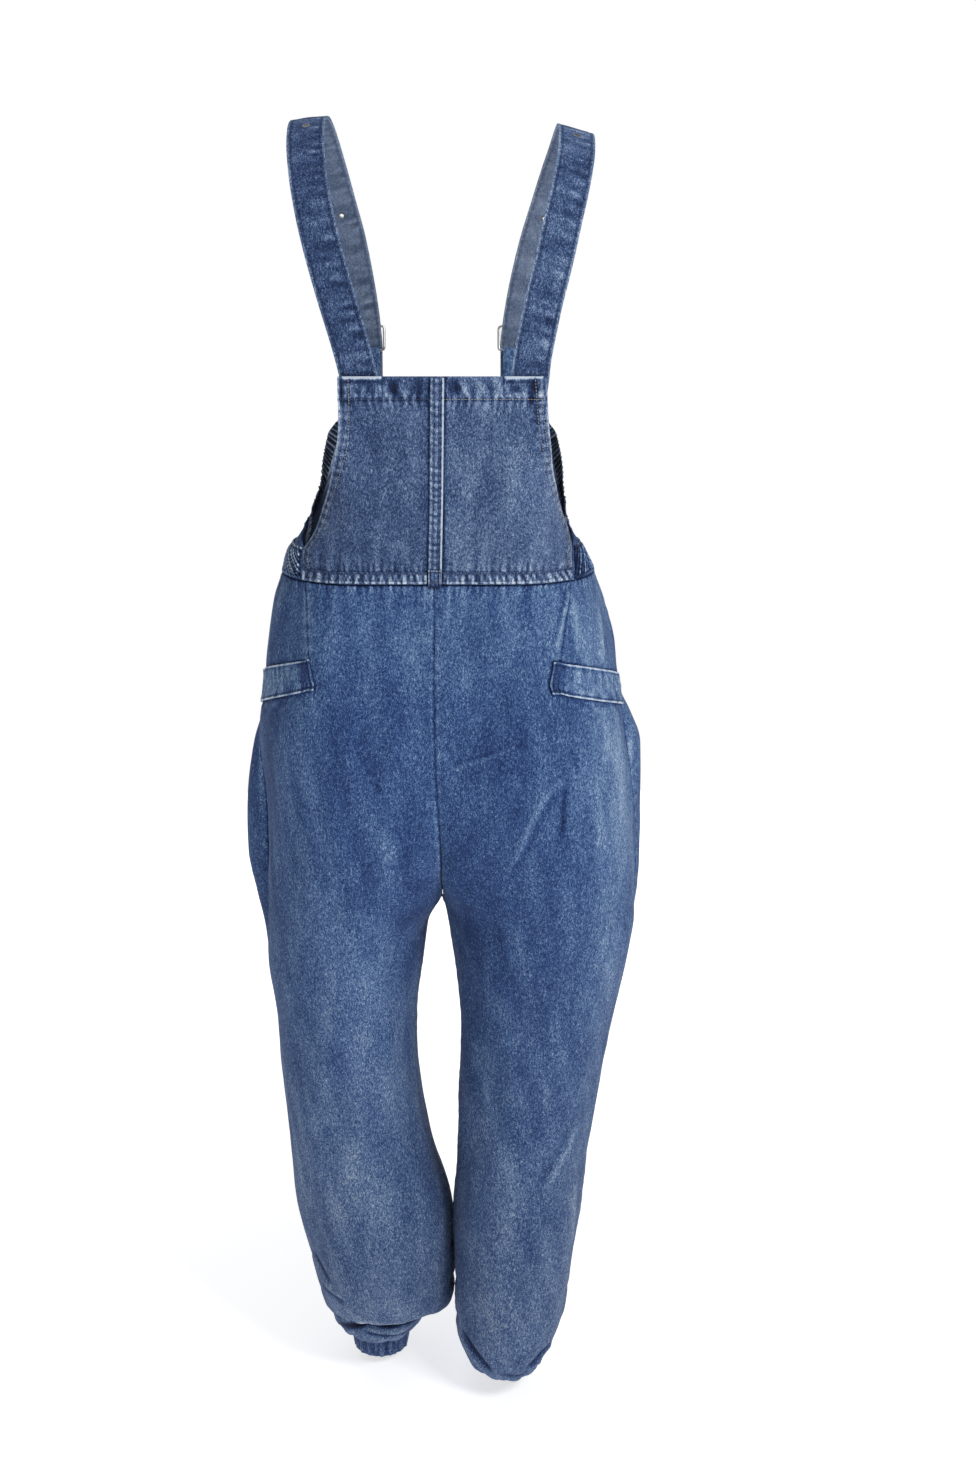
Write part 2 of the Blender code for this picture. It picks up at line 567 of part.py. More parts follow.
def make_back_bib(light):
    """Two halves of the back bib, the strip down its centre, its tab and the felled waist seam."""
    heights = np.array([BIB_TOP, BIB_TOP - BIB_HEM / 2, BIB_TOP - BIB_HEM, -290, -312, -334, -356, -378,
                        -397, -412, SIDE_TOP, WAIST + FELL, WAIST])
    wall = np.where(heights > BIB_TOP - BIB_HEM - 1, HEM, DENIM)[:, None]
    cells = 9
    grids = {}
    for side, table, word in ((1, BIB_EDGE_L, "left"), (-1, BIB_EDGE_R, "right")):
        grid = []
        for z in heights:
            middle = column_at(CENTRE, z)
            edge = side * column_at(table, z)
            grid.append([back_point(x, z) for x in np.linspace(middle, edge, cells + 1)])
        grids[side] = (np.array(grid), grid_normals(np.array(grid), side))
        sheet(f"back_bib_{word}", *grids[side], wall, light)

    def on_bib(i, x):
        """Place and normal at a fractional row and a distance from the centre line."""
        grid, normal = grids[1 if x >= 0 else -1]
        a = min(int(i), len(heights) - 2)
        widths = np.abs(grid[a:a + 2, -1, 0] - grid[a:a + 2, 0, 0])
        span = widths[0] * (1 - i + a) + widths[1] * (i - a)
        return on_grid(grid, normal, i, abs(x) / span * cells)

    last = len(heights) - 1
    for side, word in ((1, "left"), (-1, "right")):
        grid, normal = grids[side]
        start = (STRIP_HALF + 0.8) / abs(grid[-1, -1, 0] - grid[-1, 0, 0]) * cells
        columns = [start] + [j for j in np.arange(0, cells, 0.5) if j > start + 0.2] + [cells - 0.08]
        rows = (last - 1, last - 0.5, last - 0.02)
        laid = [[on_grid(grid, normal, i, j) for j in columns] for i in rows]
        patch(f"waist_fell_{word}", *split(laid), SKIN, FELL_THICK, light)
    rows = [0.02] + list(np.arange(0.5, last, 0.5)) + [last - 0.02]
    laid = [[on_bib(i, x) for x in (-STRIP_HALF, 0.0, STRIP_HALF)] for i in rows]
    patch("centre_back_strip", *split(laid), STRIP_LIFT, TRIM, light)
    tab_rows = (last - 1.2, last - 1, last - 0.5, last - 0.02)
    middle = column_at(CENTRE, WAIST)
    laid = [[on_bib(i, middle + x) for x in (-TAB_BACK_HALF, 0.0, TAB_BACK_HALF)] for i in tab_rows]
    places, ways = split(laid)
    places = np.vstack((places, places[-1:] + [[[0.0, 0.6, -3.0]]]))
    patch("back_tab", places, np.vstack((ways, ways[-1:])), STRIP_LIFT + TRIM + SKIN, TRIM, light)


def split(laid):
    """Rows of (place, normal) pairs as two arrays."""
    return np.array([[p for p, _ in row] for row in laid]), np.array([[n for _, n in row] for row in laid])


def make_front_bib(blue, dark):
    """The front bib, wrapped round to the back bib's corners, its ruched edges and side bands."""
    heights = np.array([FRONT_TOP, FRONT_TOP - BIB_HEM / 2, FRONT_TOP - BIB_HEM, -294, -310, -326, -342,
                        -360, -378, -397, -412, SIDE_TOP, WAIST + FELL, WAIST])
    wall = np.where(heights > FRONT_TOP - BIB_HEM - 1, HEM, DENIM)[:, None]
    joins = {1: BIB_EDGE_L, -1: BIB_EDGE_R}

    def edge_station(z, side):
        low = station_of(column_at(joins[side], min(z, SIDE_TOP)), z, side)
        if z <= SIDE_TOP:
            return low + 0.005
        return max(column_at(FRONT_EDGE, z), low + 0.005 + 0.09 * min(1.0, (z - SIDE_TOP) / 11.0))

    half = 9
    grid = []
    for z in heights:
        left = [torso_point(z, s, 1) for s in np.linspace(edge_station(z, 1), 2, half + 1)]
        right = [torso_point(z, s, -1) for s in np.linspace(2, edge_station(z, -1), half + 1)]
        grid.append(left + right[1:])
    grid = np.array(grid)
    normal = grid_normals(grid, 1)
    sheet("front_bib", grid, normal, wall, blue)

    for side, word in ((1, "left"), (-1, "right")):
        foot = list(heights).index(SIDE_TOP)
        outline = grid[2:foot + 1, 0 if side > 0 else -1]
        inside = grid[2:foot + 1, 1 if side > 0 else -2]
        even = np.linspace(0.06, 0.975, 2 * EDGE_WAVES + 1)
        line = along(outline, even)
        near = along(inside, even)
        tangent = np.gradient(line, axis=0)
        tangent /= np.linalg.norm(tangent, axis=1, keepdims=True)
        way = line - near
        way -= tangent * np.sum(way * tangent, axis=1, keepdims=True)
        way /= np.linalg.norm(way, axis=1, keepdims=True)
        facing = np.cross(way, tangent) * -side
        wave = np.cos(math.pi * np.arange(len(even))) * EDGE_WAVE
        tuck = EDGE_TUCK * np.clip((-line[:, 2] - 392.0) / 16.0, 0, 1)
        columns = []
        for across, share in ((0.6, 0.3), (EDGE_WIDTH / 2, 1.0), (EDGE_WIDTH, 0.7)):
            columns.append(line + way * across + facing * (wave * share - tuck)[:, None])
        strip = np.stack(columns, axis=1)
        flat = np.repeat(facing[:, None], 3, axis=1)
        sheet(f"elastic_edge_{word}", strip, flat, ELASTIC, dark, gap=0.25)

        last = len(heights) - 1
        columns = (0.12, 0.5, 1.0, 1.5, 2.0, 2.5, 3.0, 3.5)
        laid = [[on_grid(grid, normal, i, j if side > 0 else 2 * half - j) for j in columns]
                for i in (last - 2, last - 1.5, last - 1, last - 0.5, last - 0.02)]
        patch(f"side_band_{word}", *split(laid), SKIN, TRIM, blue)


def strap_frames(side):
    """Centre points, tangents, outward and widthwise directions along one strap."""
    places = []
    rolls = []
    for station in STRAP:
        row = dict(zip(STRAP_COLUMNS, station))
        if side > 0:
            places.append((row["x_l"], row["y"], row["z"]))
            rolls.append(row["roll_l"])
        else:
            places.append((-row["x_r"], row["y"], row["z"] - row["drop_r"]))
            rolls.append(row["roll_r"])
    places = np.array(places)
    tangent = np.gradient(places, axis=0)
    tangent /= np.linalg.norm(tangent, axis=1, keepdims=True)
    out = np.cross(tangent, np.array([1.0, 0.0, 0.0]))
    out /= np.linalg.norm(out, axis=1, keepdims=True)
    wide = np.cross(tangent, out)
    for k, roll in enumerate(rolls):
        angle = side * math.radians(roll)
        turned = wide[k] * math.cos(angle) + out[k] * math.sin(angle)
        out[k] = np.cross(turned, tangent[k])
        wide[k] = turned
    return places, tangent, out, wide


def strap_grid(side):
    """Outer face of a strap: rows along it, columns across."""
    places, _, out, wide = strap_frames(side)
    across = np.linspace(-STRAP_WIDTH / 2, STRAP_WIDTH / 2, STRAP_CELLS + 1)
    grid = places[:, None, :] + wide[:, None, :] * across[None, :, None]
    return grid, np.repeat(out[:, None, :], STRAP_CELLS + 1, axis=1)


def turned_profile(name, centre, axis, profile, material, segments=HOLE_SIDES):
    """A closed body of revolution about an axis; profile pairs are radius and height."""
    axis = unit(axis)
    first = unit(np.cross(axis, np.array([0.3, 0.9, 0.2])))
    second = np.cross(axis, first)
    count = len(profile)
    places = []
    for k in range(segments):
        angle = 2 * math.pi * k / segments
        ray = first * math.cos(angle) + second * math.sin(angle)
        places += [centre + ray * r + axis * h for r, h in profile]
    faces = []
    for k in range(segments):
        following = (k + 1) % segments
        for m in range(count):
            n = (m + 1) % count
            faces.append((k * count + m, following * count + m, following * count + n, k * count + n))
    return body(name, places, faces, material, 30.0)


def rod(name, path, radius, material, sides=8, closed=False):
    """A round wire along a path; open ends are capped."""
    path = np.asarray(path, float)
    count = len(path)
    if closed:
        tangent = np.roll(path, -1, axis=0) - np.roll(path, 1, axis=0)
    else:
        tangent = np.gradient(path, axis=0)
    tangent /= np.linalg.norm(tangent, axis=1, keepdims=True)
    plane = unit(np.cross(path[1] - path[0], path[count // 2] - path[0]))
    places = []
    for k in range(count):
        first = plane
        second = unit(np.cross(tangent[k], first))
        for m in range(sides):
            angle = 2 * math.pi * m / sides
            places.append(path[k] + radius * (first * math.cos(angle) + second * math.sin(angle)))
    faces = []
    for k in range(count if closed else count - 1):
        following = (k + 1) % count
        for m in range(sides):
            n = (m + 1) % sides
            faces.append((k * sides + m, following * sides + m, following * sides + n, k * sides + n))
    if not closed:
        faces.append(tuple(range(sides)))
        faces.append(tuple(reversed(range((count - 1) * sides, count * sides))))
    return body(name, places, faces, material, 35.0)


def bore(item, centre, axis, radius):
    """Cut a round hole through a body."""
    axis = unit(axis)
    first = unit(np.cross(axis, np.array([0.3, 0.9, 0.2])))
    second = np.cross(axis, first)
    sides = HOLE_SIDES
    places = []
    for height in (-BORE_REACH, BORE_REACH):
        for k in range(sides):
            angle = 2 * math.pi * k / sides
            ray = first * math.cos(angle) + second * math.sin(angle)
            places.append(centre + axis * height + ray * radius)
    faces = [tuple(range(sides)), tuple(reversed(range(sides, 2 * sides)))]
    for k in range(sides):
        following = (k + 1) % sides
        faces.append((following, k, k + sides, following + sides))
    cutter = body("cutter", places, faces, item.data.materials[0])
    cutter.hide_render = True
    cutter.display_type = "WIRE"
    modifier = item.modifiers.new("hole", "BOOLEAN")
    modifier.operation = "DIFFERENCE"
    modifier.solver = "EXACT"
    modifier.object = cutter
    bpy.context.view_layer.update()
    evaluated = item.evaluated_get(bpy.context.evaluated_depsgraph_get())
    result = bpy.data.meshes.new_from_object(evaluated)
    item.modifiers.clear()
    item.data = result
    bpy.data.objects.remove(cutter, do_unlink=True)


def strap_place(frames, station):
    """Interpolated centre, outward and tangent direction at a station along a strap."""
    places, tangent, out, _ = frames
    k = int(np.clip(math.floor(station), 0, len(places) - 2))
    t = station - k
    return (places[k] * (1 - t) + places[k + 1] * t, unit(out[k] * (1 - t) + out[k + 1] * t),
            unit(tangent[k] * (1 - t) + tangent[k + 1] * t))


def make_straps(light, steel, blue):
    """Straps with their eyelets, and the buckle, prong and tab that fasten each in front."""
    for side, word in ((1, "left"), (-1, "right")):
        frames = strap_frames(side)
        grid, out = strap_grid(side)
        strap = sheet(f"strap_{word}", grid, out, STRAP_THICK, light, gap=0.0)
        for number, station in enumerate(EYELETS, 1):
            centre, up, _ = strap_place(frames, station)
            bore(strap, centre - up * STRAP_THICK / 2, up, HOLE)
            profile = ((EYELET_BORE, 1.0), (EYELET_OUTER - 0.8, 1.0), (EYELET_OUTER, 0.5),
                       (HOLE - 0.3, 0.5), (HOLE - 0.3, -STRAP_THICK), (EYELET_BORE, -STRAP_THICK))
            turned_profile(f"eyelet_{word}_{number}", centre, up, profile, steel)
        make_buckle(side, word, frames, steel, blue)


def make_buckle(side, word, frames, steel, blue):
    """Rectangular wire buckle: strap behind its upper bar and before its lower one."""
    places, _, _, _ = frames
    heights = places[15:, 2]
    depths = places[15:, 1]
    middles = places[15:, 0]

    def strap_at(z):
        order = np.argsort(heights)
        return np.interp(z, heights[order], middles[order]), np.interp(z, heights[order], depths[order])

    x_top, y_top = strap_at(BUCKLE_TOP)
    x_low, y_low = strap_at(BUCKLE_LOW)
    x_mid = 0.5 * (x_top + x_low)
    top = y_top - BAR - BAR_GAP
    low = y_low + STRAP_THICK + TAB_GAP + TAB_THICK + WIRE_GAP + BAR
    corners = []
    for cx, cz, start in ((BUCKLE_HALF - BUCKLE_CORNER, BUCKLE_TOP - BUCKLE_CORNER, 0),
                          (-BUCKLE_HALF + BUCKLE_CORNER, BUCKLE_TOP - BUCKLE_CORNER, 90),
                          (-BUCKLE_HALF + BUCKLE_CORNER, BUCKLE_LOW + BUCKLE_CORNER, 180),
                          (BUCKLE_HALF - BUCKLE_CORNER, BUCKLE_LOW + BUCKLE_CORNER, 270)):
        for degrees in (start, start + 45, start + 90):
            angle = math.radians(degrees)
            z = cz + BUCKLE_CORNER * math.sin(angle)
            depth = low + (top - low) * (z - BUCKLE_LOW) / (BUCKLE_TOP - BUCKLE_LOW)
            corners.append((x_mid + cx + BUCKLE_CORNER * math.cos(angle), depth, z))
    rod(f"buckle_{word}", corners, BAR, steel, 8, True)

    reach = BAR + WIRE_GAP + TAB_THICK
    path = [(low - reach + 0.4, BUCKLE_LOW - 11.0), (low - reach, BUCKLE_LOW - 5.0)]
    for degrees in (180, 150, 120, 90, 60, 30, 0):
        angle = math.radians(degrees)
        path.append((low + reach * math.cos(angle), BUCKLE_LOW + reach * math.sin(angle)))
    bib_face = front_point(x_mid, FRONT_TOP - 5)[1]
    path += [(low + reach - 0.6, BUCKLE_LOW - 12.0), (bib_face - SEAM, FRONT_TOP - 1.0),
             (front_point(x_mid, FRONT_TOP - 14)[1] - SEAM, FRONT_TOP - 14.0),
             (front_point(x_mid, FRONT_TOP - 24)[1] - SEAM, FRONT_TOP - 24.0)]
    path = np.array(path)
    way = np.gradient(path, axis=0)
    way /= np.linalg.norm(way, axis=1, keepdims=True)
    outward = np.stack((-way[:, 1], way[:, 0]), axis=1)
    across = (-TAB_HALF, -TAB_SLOT, TAB_SLOT, TAB_HALF)
    grid = np.array([[(x_mid + x, y, z) for x in across] for y, z in path])
    normal = np.array([[(0.0, oy, oz)] * 4 for oy, oz in outward])
    bar_side = np.array([0.0, low, BUCKLE_LOW]) - grid[5, 0] * np.array([0, 1, 1])
    if np.dot(normal[5, 0], bar_side) > 0:
        normal = -normal
    cells = np.ones((len(path) - 1, 3), bool)
    cells[0:10, 1] = False
    sheet(f"strap_tab_{word}", grid, normal, TAB_THICK, blue, cells, gap=0.0)

    hole, up, _ = strap_place(frames, EYELETS[-1])
    coil = BAR + PRONG + COIL_GAP
    turn = []
    for degrees in (-60, -20, 20, 60, 95):
        angle = math.radians(degrees)
        turn.append((x_mid, low + coil * math.cos(angle), BUCKLE_LOW + coil * math.sin(angle)))
    turn.append(tuple(hole - up * (STRAP_THICK + 1.8)))
    turn.append(tuple(hole + up * 2.5))
    turn.append((x_mid, top - BAR - PRONG - 0.5, BUCKLE_TOP - 1.0))
    turn.append((x_mid, top - BAR - PRONG - 0.3, BUCKLE_TOP + 2.6))
    rod(f"prong_{word}", turn, PRONG, steel, 6)


def make_cuffs(blue):
    """Ruched elastic cuffs."""
    for (x, y, wide, narrow, top, low), word in ((CUFF_L, "left"), (CUFF_R, "right")):
        columns = 3 * CUFF_WAVES
        angles = 2 * math.pi * np.arange(columns) / columns
        rays = np.stack((np.cos(angles), np.sin(angles), np.zeros(columns)), axis=1)
        rows = []
        for down, share in ((0.0, 0.7), (0.5, 1.0), (1.0, 0.7)):
            z = top - 0.2 + (low - top) * down
            reach = wide + (narrow - wide) * down + CUFF_WAVE * share * np.cos(CUFF_WAVES * angles)
            rows.append(np.array([x, y, z]) + rays * reach[:, None])
        grid = np.array(rows)
        normal = np.repeat(rays[None], 3, axis=0)
        sheet(f"cuff_{word}", grid, normal, DENIM, blue, wrap=True, gap=0.0)


def main():
    """Build every sewn piece and every fastening."""
    clear_scene()
    blue = paint("denim_mid", DENIM_BLUE, 0.88)
    light = paint("denim_light", DENIM_LIGHT, 0.88)
    dark = paint("denim_elastic", DENIM_DARK, 0.9)
    steel = paint("nickel", STEEL, 0.35, 1.0)
    grids = make_legs(blue)
    make_welts(grids, blue)
    make_back_bib(light)
    make_front_bib(blue, dark)
    make_straps(light, steel, blue)
    make_cuffs(blue)


main()
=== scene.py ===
"""Denim dungarees, dressed: every sewn piece is a thin cloth with its creases, puckers, stitching, worn tone
and painted shade.

The garment hangs open and hollow in its worn form. +Z is up, its front faces -Y, the wearer's left is +X.
Lengths are in millimetres and become metres when a mesh is made.
"""
import logging
import math
from dataclasses import dataclass, field
from enum import Enum
from typing import Dict, Optional, Sequence, Tuple

import bmesh
import bpy
import numpy as np
from mathutils import Matrix, Vector


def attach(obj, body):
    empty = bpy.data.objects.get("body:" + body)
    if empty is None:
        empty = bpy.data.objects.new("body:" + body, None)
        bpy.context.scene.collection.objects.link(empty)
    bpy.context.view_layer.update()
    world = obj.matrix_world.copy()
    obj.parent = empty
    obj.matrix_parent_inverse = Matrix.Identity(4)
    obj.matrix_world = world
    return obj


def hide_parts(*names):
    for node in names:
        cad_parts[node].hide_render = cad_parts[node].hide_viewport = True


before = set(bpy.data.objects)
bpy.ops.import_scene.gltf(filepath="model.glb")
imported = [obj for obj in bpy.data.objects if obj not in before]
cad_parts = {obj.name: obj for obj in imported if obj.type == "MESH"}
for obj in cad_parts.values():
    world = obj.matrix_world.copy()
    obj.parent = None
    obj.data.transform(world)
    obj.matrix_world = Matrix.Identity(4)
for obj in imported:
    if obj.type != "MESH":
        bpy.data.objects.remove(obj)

LOG = logging.getLogger("dungarees")
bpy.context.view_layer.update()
MM = 0.001

BIB_TOP = -245.3        # top edge of the back bib
FRONT_TOP = -257.0      # top edge of the front bib
BIB_HEM = 22.0          # depth of the turned hem of both bibs
WAIST = -453.5          # seam between bibs and trousers
SIDE_TOP = -423.0       # top of the side bands, and lower corner of the back bib
FELL = 12.0             # height of the felled seam above the waist
STRIP_HALF = 7.2        # half width of the centre back strip
STRAP_WIDTH = 38.0
STRAP_THICK = 2.6       # strap, two layers
DENIM = 1.5             # wall of one layer of denim
TRIM = 1.6              # wall of a strip, tab or band laid on a panel
ELASTIC = 1.3           # wall of an elastic channel
STRIP_OUT = 2.0         # how far a laid piece's outer face stands off its panel
TAB_OUT = 4.1
BAND_OUT = 2.05
TURN_GAP = 0.35         # clear space inside a turned hem

# Half sections of the upper body: height, half width left and right, back, front, flat shares.
TORSO = (
    (-225, 152, 160, 100.5, -117, 0.74, 0.74),
    (-270, 148, 156, 98.5, -117, 0.72, 0.72),
    (-320, 138, 146, 92, -110, 0.64, 0.62),
    (-368, 130, 137, 89, -103, 0.56, 0.54),
    (-404, 143, 142, 95.5, -99, 0.51, 0.49),
    (-430, 160, 156, 103, -98.5, 0.47, 0.46),
    (-453.5, 168, 168, 110, -100, 0.45, 0.45),
    (-480, 179, 178, 117.5, -106.5, 0.45, 0.45),
)
# Edges of the back bib, the centre back line, and the front bib's side edge, each by height.
BIB_EDGE_L = ((-245.3, 97.2), (-304, 98.6), (-349, 107.8), (-383, 119), (-411, 131),
              (-423, 139), (-453.5, 138))
BIB_EDGE_R = ((-245.3, 112.5), (-304, 117.2), (-349, 123.6), (-383, 132), (-411, 141),
              (-423, 143), (-453.5, 141))
CENTRE = ((-245.3, -2.8), (-350, -1), (-453.5, 0.8), (-640, 0.8), (-730, -3), (-822, -4))
FRONT_EDGE = ((-257, 1.60), (-275, 1.58), (-295, 1.53), (-320, 1.45), (-345, 1.33),
              (-365, 1.18), (-385, 1.00), (-400, 0.87), (-412, 0.77), (-423, 0.70))

# One leg: z, inner edge, its depth on the back and front panel, turn, side seam x and y, lobe,
# back, front, drop of the row at the side.
LEG_L = (
    (-453.5, 0, 110, -100, 0, 168, 0, 0, 110, -100, 0),
    (-480, 0, 117, -106, 0, 179, 0, 0, 117.5, -106.5, 2),
    (-515, 0, 124, -111, 0, 186, 0, 0, 125.5, -112, 14),
    (-554, 0, 130, -114, 0, 191, 1, 1, 132.5, -116, 33),
    (-596, 0, 133, -115, 0, 196, 3, 4, 137, -118, 22),
    (-640, 0, 133, -114, 0, 197, 4, 13, 138.5, -120, 8),
    (-684, 0, 130, -109, 8, 194, 5, 21, 138, -121, 0),
    (-726, 0, 122, -99, 25, 193, 5, 25, 136.5, -121, 0),
    (-762, 0, 108, -84, 45, 194, 5, 25, 134, -121, 0),
    (-792, 0, 82, -60, 65, 195, 5, 24, 131, -120, 0),
    (-812, 0, 48, -26, 80, 195, 5, 22, 128.5, -119, 0),
    (-824, 2, 14, 14, 90, 195, 5, 20, 127, -118, 0),
    (-850, 14, 14, 14, 90, 195, 5, 16, 124, -116, 0),
    (-900, 21, 14, 14, 90, 196, 5, 6, 118, -112, 0),
    (-957, 27, 13, 13, 90, 190, 4, 0, 112, -106, 0),
    (-1020, 27, 12, 12, 90, 187, 3, 0, 106, -100, 0),
    (-1084, 20, 9, 9, 90, 183, 2, 0, 102, -95, 0),
    (-1145, 9, 5, 5, 90, 178, 0, 0, 99, -92, 0),
    (-1200, -8, 1, 1, 90, 174, -3, 0, 97, -92, 0),
    (-1262, -11, -4, -4, 90, 163, -8, 0, 92, -92, 2),
    (-1300, -11, -7, -7, 90, 156, -10, 0, 86, -92, 8),
    (-1326, -10, -9, -9, 90, 149, -11, 0, 78, -92, 14),
    (-1339, -3, -10, -10, 90, 143, -12, 0, 66, -90, 17),
    (-1341, 11, -12, -12, 90, 137, -13, 0, 51, -85, 17),
    (-1352, 20, -14, -14, 90, 137, -14, 0, 56, -84, 15),
    (-1367, 27, -16, -16, 90, 132, -16, 0, 52, -80, 12),
    (-1378, 33, -18, -18, 90, 125, -18, 0, 43, -74, 8),
    (-1387.5, 38, -20, -20, 90, 118, -20, 0, 28, -66, 3),
    (-1388, 41.8, -22, -22, 90, 114.2, -22, 0, 14.2, -58.2, 0),
)
LEG_R = (
    (-453.5, 0, 110, -100, 0, 168, 0, 0, 110, -100, 0),
    (-480, 0, 117, -106, 0, 178, 0, 0, 117.5, -106.5, 2),
    (-515, 0, 124, -111, 0, 190, 0, 1, 125.5, -112, 14),
    (-554, 0, 130, -114, 0, 198, 1, 4, 132.5, -116, 33),
    (-596, 0, 133, -115, 0, 203, 3, 12, 137, -118, 22),
    (-640, 0, 133, -114, 0, 208, 4, 17, 138.5, -120, 8),
    (-684, 0, 130, -109, 8, 214, 5, 14, 138, -121, 0),
    (-726, 0, 122, -99, 25, 218, 5, 11, 136.5, -121, 0),
    (-762, 0, 108, -84, 45, 220, 5, 9, 134, -121, 0),
    (-792, 0, 82, -60, 65, 221, 5, 8, 131, -120, 0),
    (-812, 0, 48, -26, 80, 221, 5, 7, 128.5, -119, 0),
    (-824, 2, 14, 14, 90, 221, 5, 7, 127, -118, 0),
    (-850, 10, 15, 15, 90, 221, 6, 3, 125, -115, 0),
    (-900, 18, 16, 16, 90, 213, 8, 0, 121, -109, 0),
    (-957, 23, 17, 17, 90, 200, 10, 0, 116, -102, 0),
    (-1020, 22, 19, 19, 90, 189, 12, 0, 112, -95, 0),
    (-1084, 20, 21, 21, 90, 178, 14, 0, 109, -89, 0),
    (-1149, 19, 23, 23, 90, 168, 16, 0, 108, -84, 0),
    (-1214, 17, 25, 25, 90, 163, 18, 0, 108, -80, 0),
    (-1270, 16, 27, 27, 90, 155, 20, 0, 108, -76, 0),
    (-1312, 15, 28, 28, 90, 150, 22, 0, 108, -72, 0),
    (-1345, 15, 29, 29, 90, 144, 24, 0, 106, -66, 0),
    (-1372, 18, 30, 30, 90, 135, 26, 0, 101, -58, 2),
    (-1390, 26, 31, 31, 90, 125, 28, 0, 93, -48, 4),
    (-1401, 32, 32, 32, 90, 120, 30, 0, 83, -32, 3),
    (-1403.5, 37, 32, 32, 90, 117, 31, 0, 75, -14, 1),
    (-1397, 41.8, 32, 32, 90, 114.2, 32, 0, 68.2, -4.2, 0),
)
CROTCH_ROW = 11         # first row of the table in which the leg is a closed ring
HIP_ROWS = 3            # rows of the side hip panel, down to the pocket welt
HALF = 14               # columns of a panel, from centre line to side seam
HIP = 9                 # columns from the centre back to the hip seam
FLAT_SHARE = 0.45       # share of a leg panel's width that stays flat
# Hip seam from the centre, at the waist and at the pocket welt, by the sign of its side.
HIP_SEAMS = {1: (136.5, 130.0), -1: (141.0, 127.0)}
# Straps: depth, height, left x, right x, drop of the right strap, roll of each in degrees.
STRAP = (
    (94.6, -265.5, 71, 93.5, 0, 0, 0),
    (95.8, -248, 75.5, 96.5, 0, 0, 0),
    (99.5, -226, 80.3, 98.7, 0, 0, 0),
    (104, -200, 87, 103.5, 0, 1, 1),
    (107, -172, 95, 109.2, 0, 2, 2),
    (107, -145, 102.4, 115.8, 1, 2, 4),
    (103.5, -117.2, 109.8, 122, 3, 3, 6),
    (97, -87.4, 116.8, 128.3, 5, 4, 9),
    (86, -55.2, 122.8, 135.5, 7, 5, 12),
    (69, -24.3, 126.8, 141.3, 8, 6, 14),
    (49, -4.5, 128, 143.2, 9, 6, 15),
    (26, 6.3, 128.2, 143.5, 10, 6, 15),
    (2, 10.4, 127.2, 143, 10, 6, 15),
    (-23, 4.8, 125, 141, 9, 5, 13),
    (-47, -11.7, 121, 136, 8, 4, 11),
    (-68, -37, 115, 128, 6, 3, 8),
    (-86, -69.1, 107.5, 118.5, 4, 2, 5),
    (-100, -104.5, 99, 108, 2, 1, 2),
    (-111, -147, 91.5, 98, 0, 0, 0),
    (-118.5, -184, 86.5, 91, 0, 0, 0),
    (-124.5, -215, 84, 87, 0, 0, 0),
    (-126, -231, 84, 87, 0, 0, 0),
    (-124.5, -255, 84, 87, 0, 0, 0),
    (-124.2, -277, 84, 87, 0, 0, 0),
)
EYELETS = (10.3, 13.4, 16.3, 20.12)     # stations along the strap's rows


class Side(Enum):
    """Left or right of the wearer; the value is the sign of x."""
    LEFT = 1
    RIGHT = -1

    @property
    def word(self) -> str:
        """The side's name, as the nodes have it."""
        return self.name.lower()


class Edge(Enum):
    """Edges of a sheet: its first or last row, its first or last column."""
    TOP = "top"
    BOTTOM = "bottom"
    FIRST = "first"
    LAST = "last"


class View(Enum):
    """The side from which a crease is placed: its across axis and the way that side faces."""
    BACK = (0, (0.0, 1.0, 0.0))
    FRONT = (0, (0.0, -1.0, 0.0))
    LEFT = (1, (1.0, 0.0, 0.0))
    RIGHT = (1, (-1.0, 0.0, 0.0))


@dataclass(frozen=True)
class Crease:
    """A soft ridge, or a trough where height is negative, along a path of (across, height) points."""
    view: View
    path: Tuple[Tuple[float, float], ...]
    height: float
    width: float
    # wear: paler on a worn ridge, darker in a trough as painted shade
    wear: float = 0.0
    lean: float = 0.0


@dataclass(frozen=True)
class Fade:
    """A broad soft patch worn paler, or darker below zero, which is painted shade: an ellipse as its view
    sees it.
    """
    view: View
    centre: Tuple[float, float]
    radii: Tuple[float, float]
    wear: float
    lean: float = 0.0
    height: float = 0.0


def marks(kind: type, view: View, rows: Sequence[Tuple]) -> Tuple:
    """Creases, or patches of fading and painted shade, of one view, each from a row of its values."""
    return tuple(kind(view, *row) for row in rows)


# ---------------------------------------------------------------- curves of the cut

def hermite(keys: Sequence[float], values: Sequence, at: float) -> np.ndarray:
    """Smooth interpolation of table columns.

    Args:
        keys: one number a row, running one way.
        values: the rows.
        at: the key to read at.

    Returns:
        The row's values there.
    """
    keys = np.asarray(keys, float)
    values = np.asarray(values, float)
    if keys[0] > keys[-1]:
        keys, values = keys[::-1], values[::-1]
    at = np.clip(at, keys[0], keys[-1])
    k = int(np.clip(np.searchsorted(keys, at) - 1, 0, len(keys) - 2))
    span = keys[k + 1] - keys[k]
    t = (at - keys[k]) / span
    chord = (values[k + 1] - values[k]) / span
    before = (values[k] - values[k - 1]) / (keys[k] - keys[k - 1]) if k > 0 else chord
    after = (values[k + 2] - values[k + 1]) / (keys[k + 2] - keys[k + 1]) if k + 2 < len(keys) else chord
    m0, m1 = 0.5 * (before + chord) * span, 0.5 * (chord + after) * span
    return (values[k] * (2 * t**3 - 3 * t**2 + 1) + m0 * (t**3 - 2 * t**2 + t)
            + values[k + 1] * (3 * t**2 - 2 * t**3) + m1 * (t**3 - t**2))


def by_height(pairs: Sequence[Tuple[float, float]], z: float) -> float:
    """Value of a (height, value) table at a height."""
    return float(hermite([p[0] for p in pairs], [p[1] for p in pairs], z))


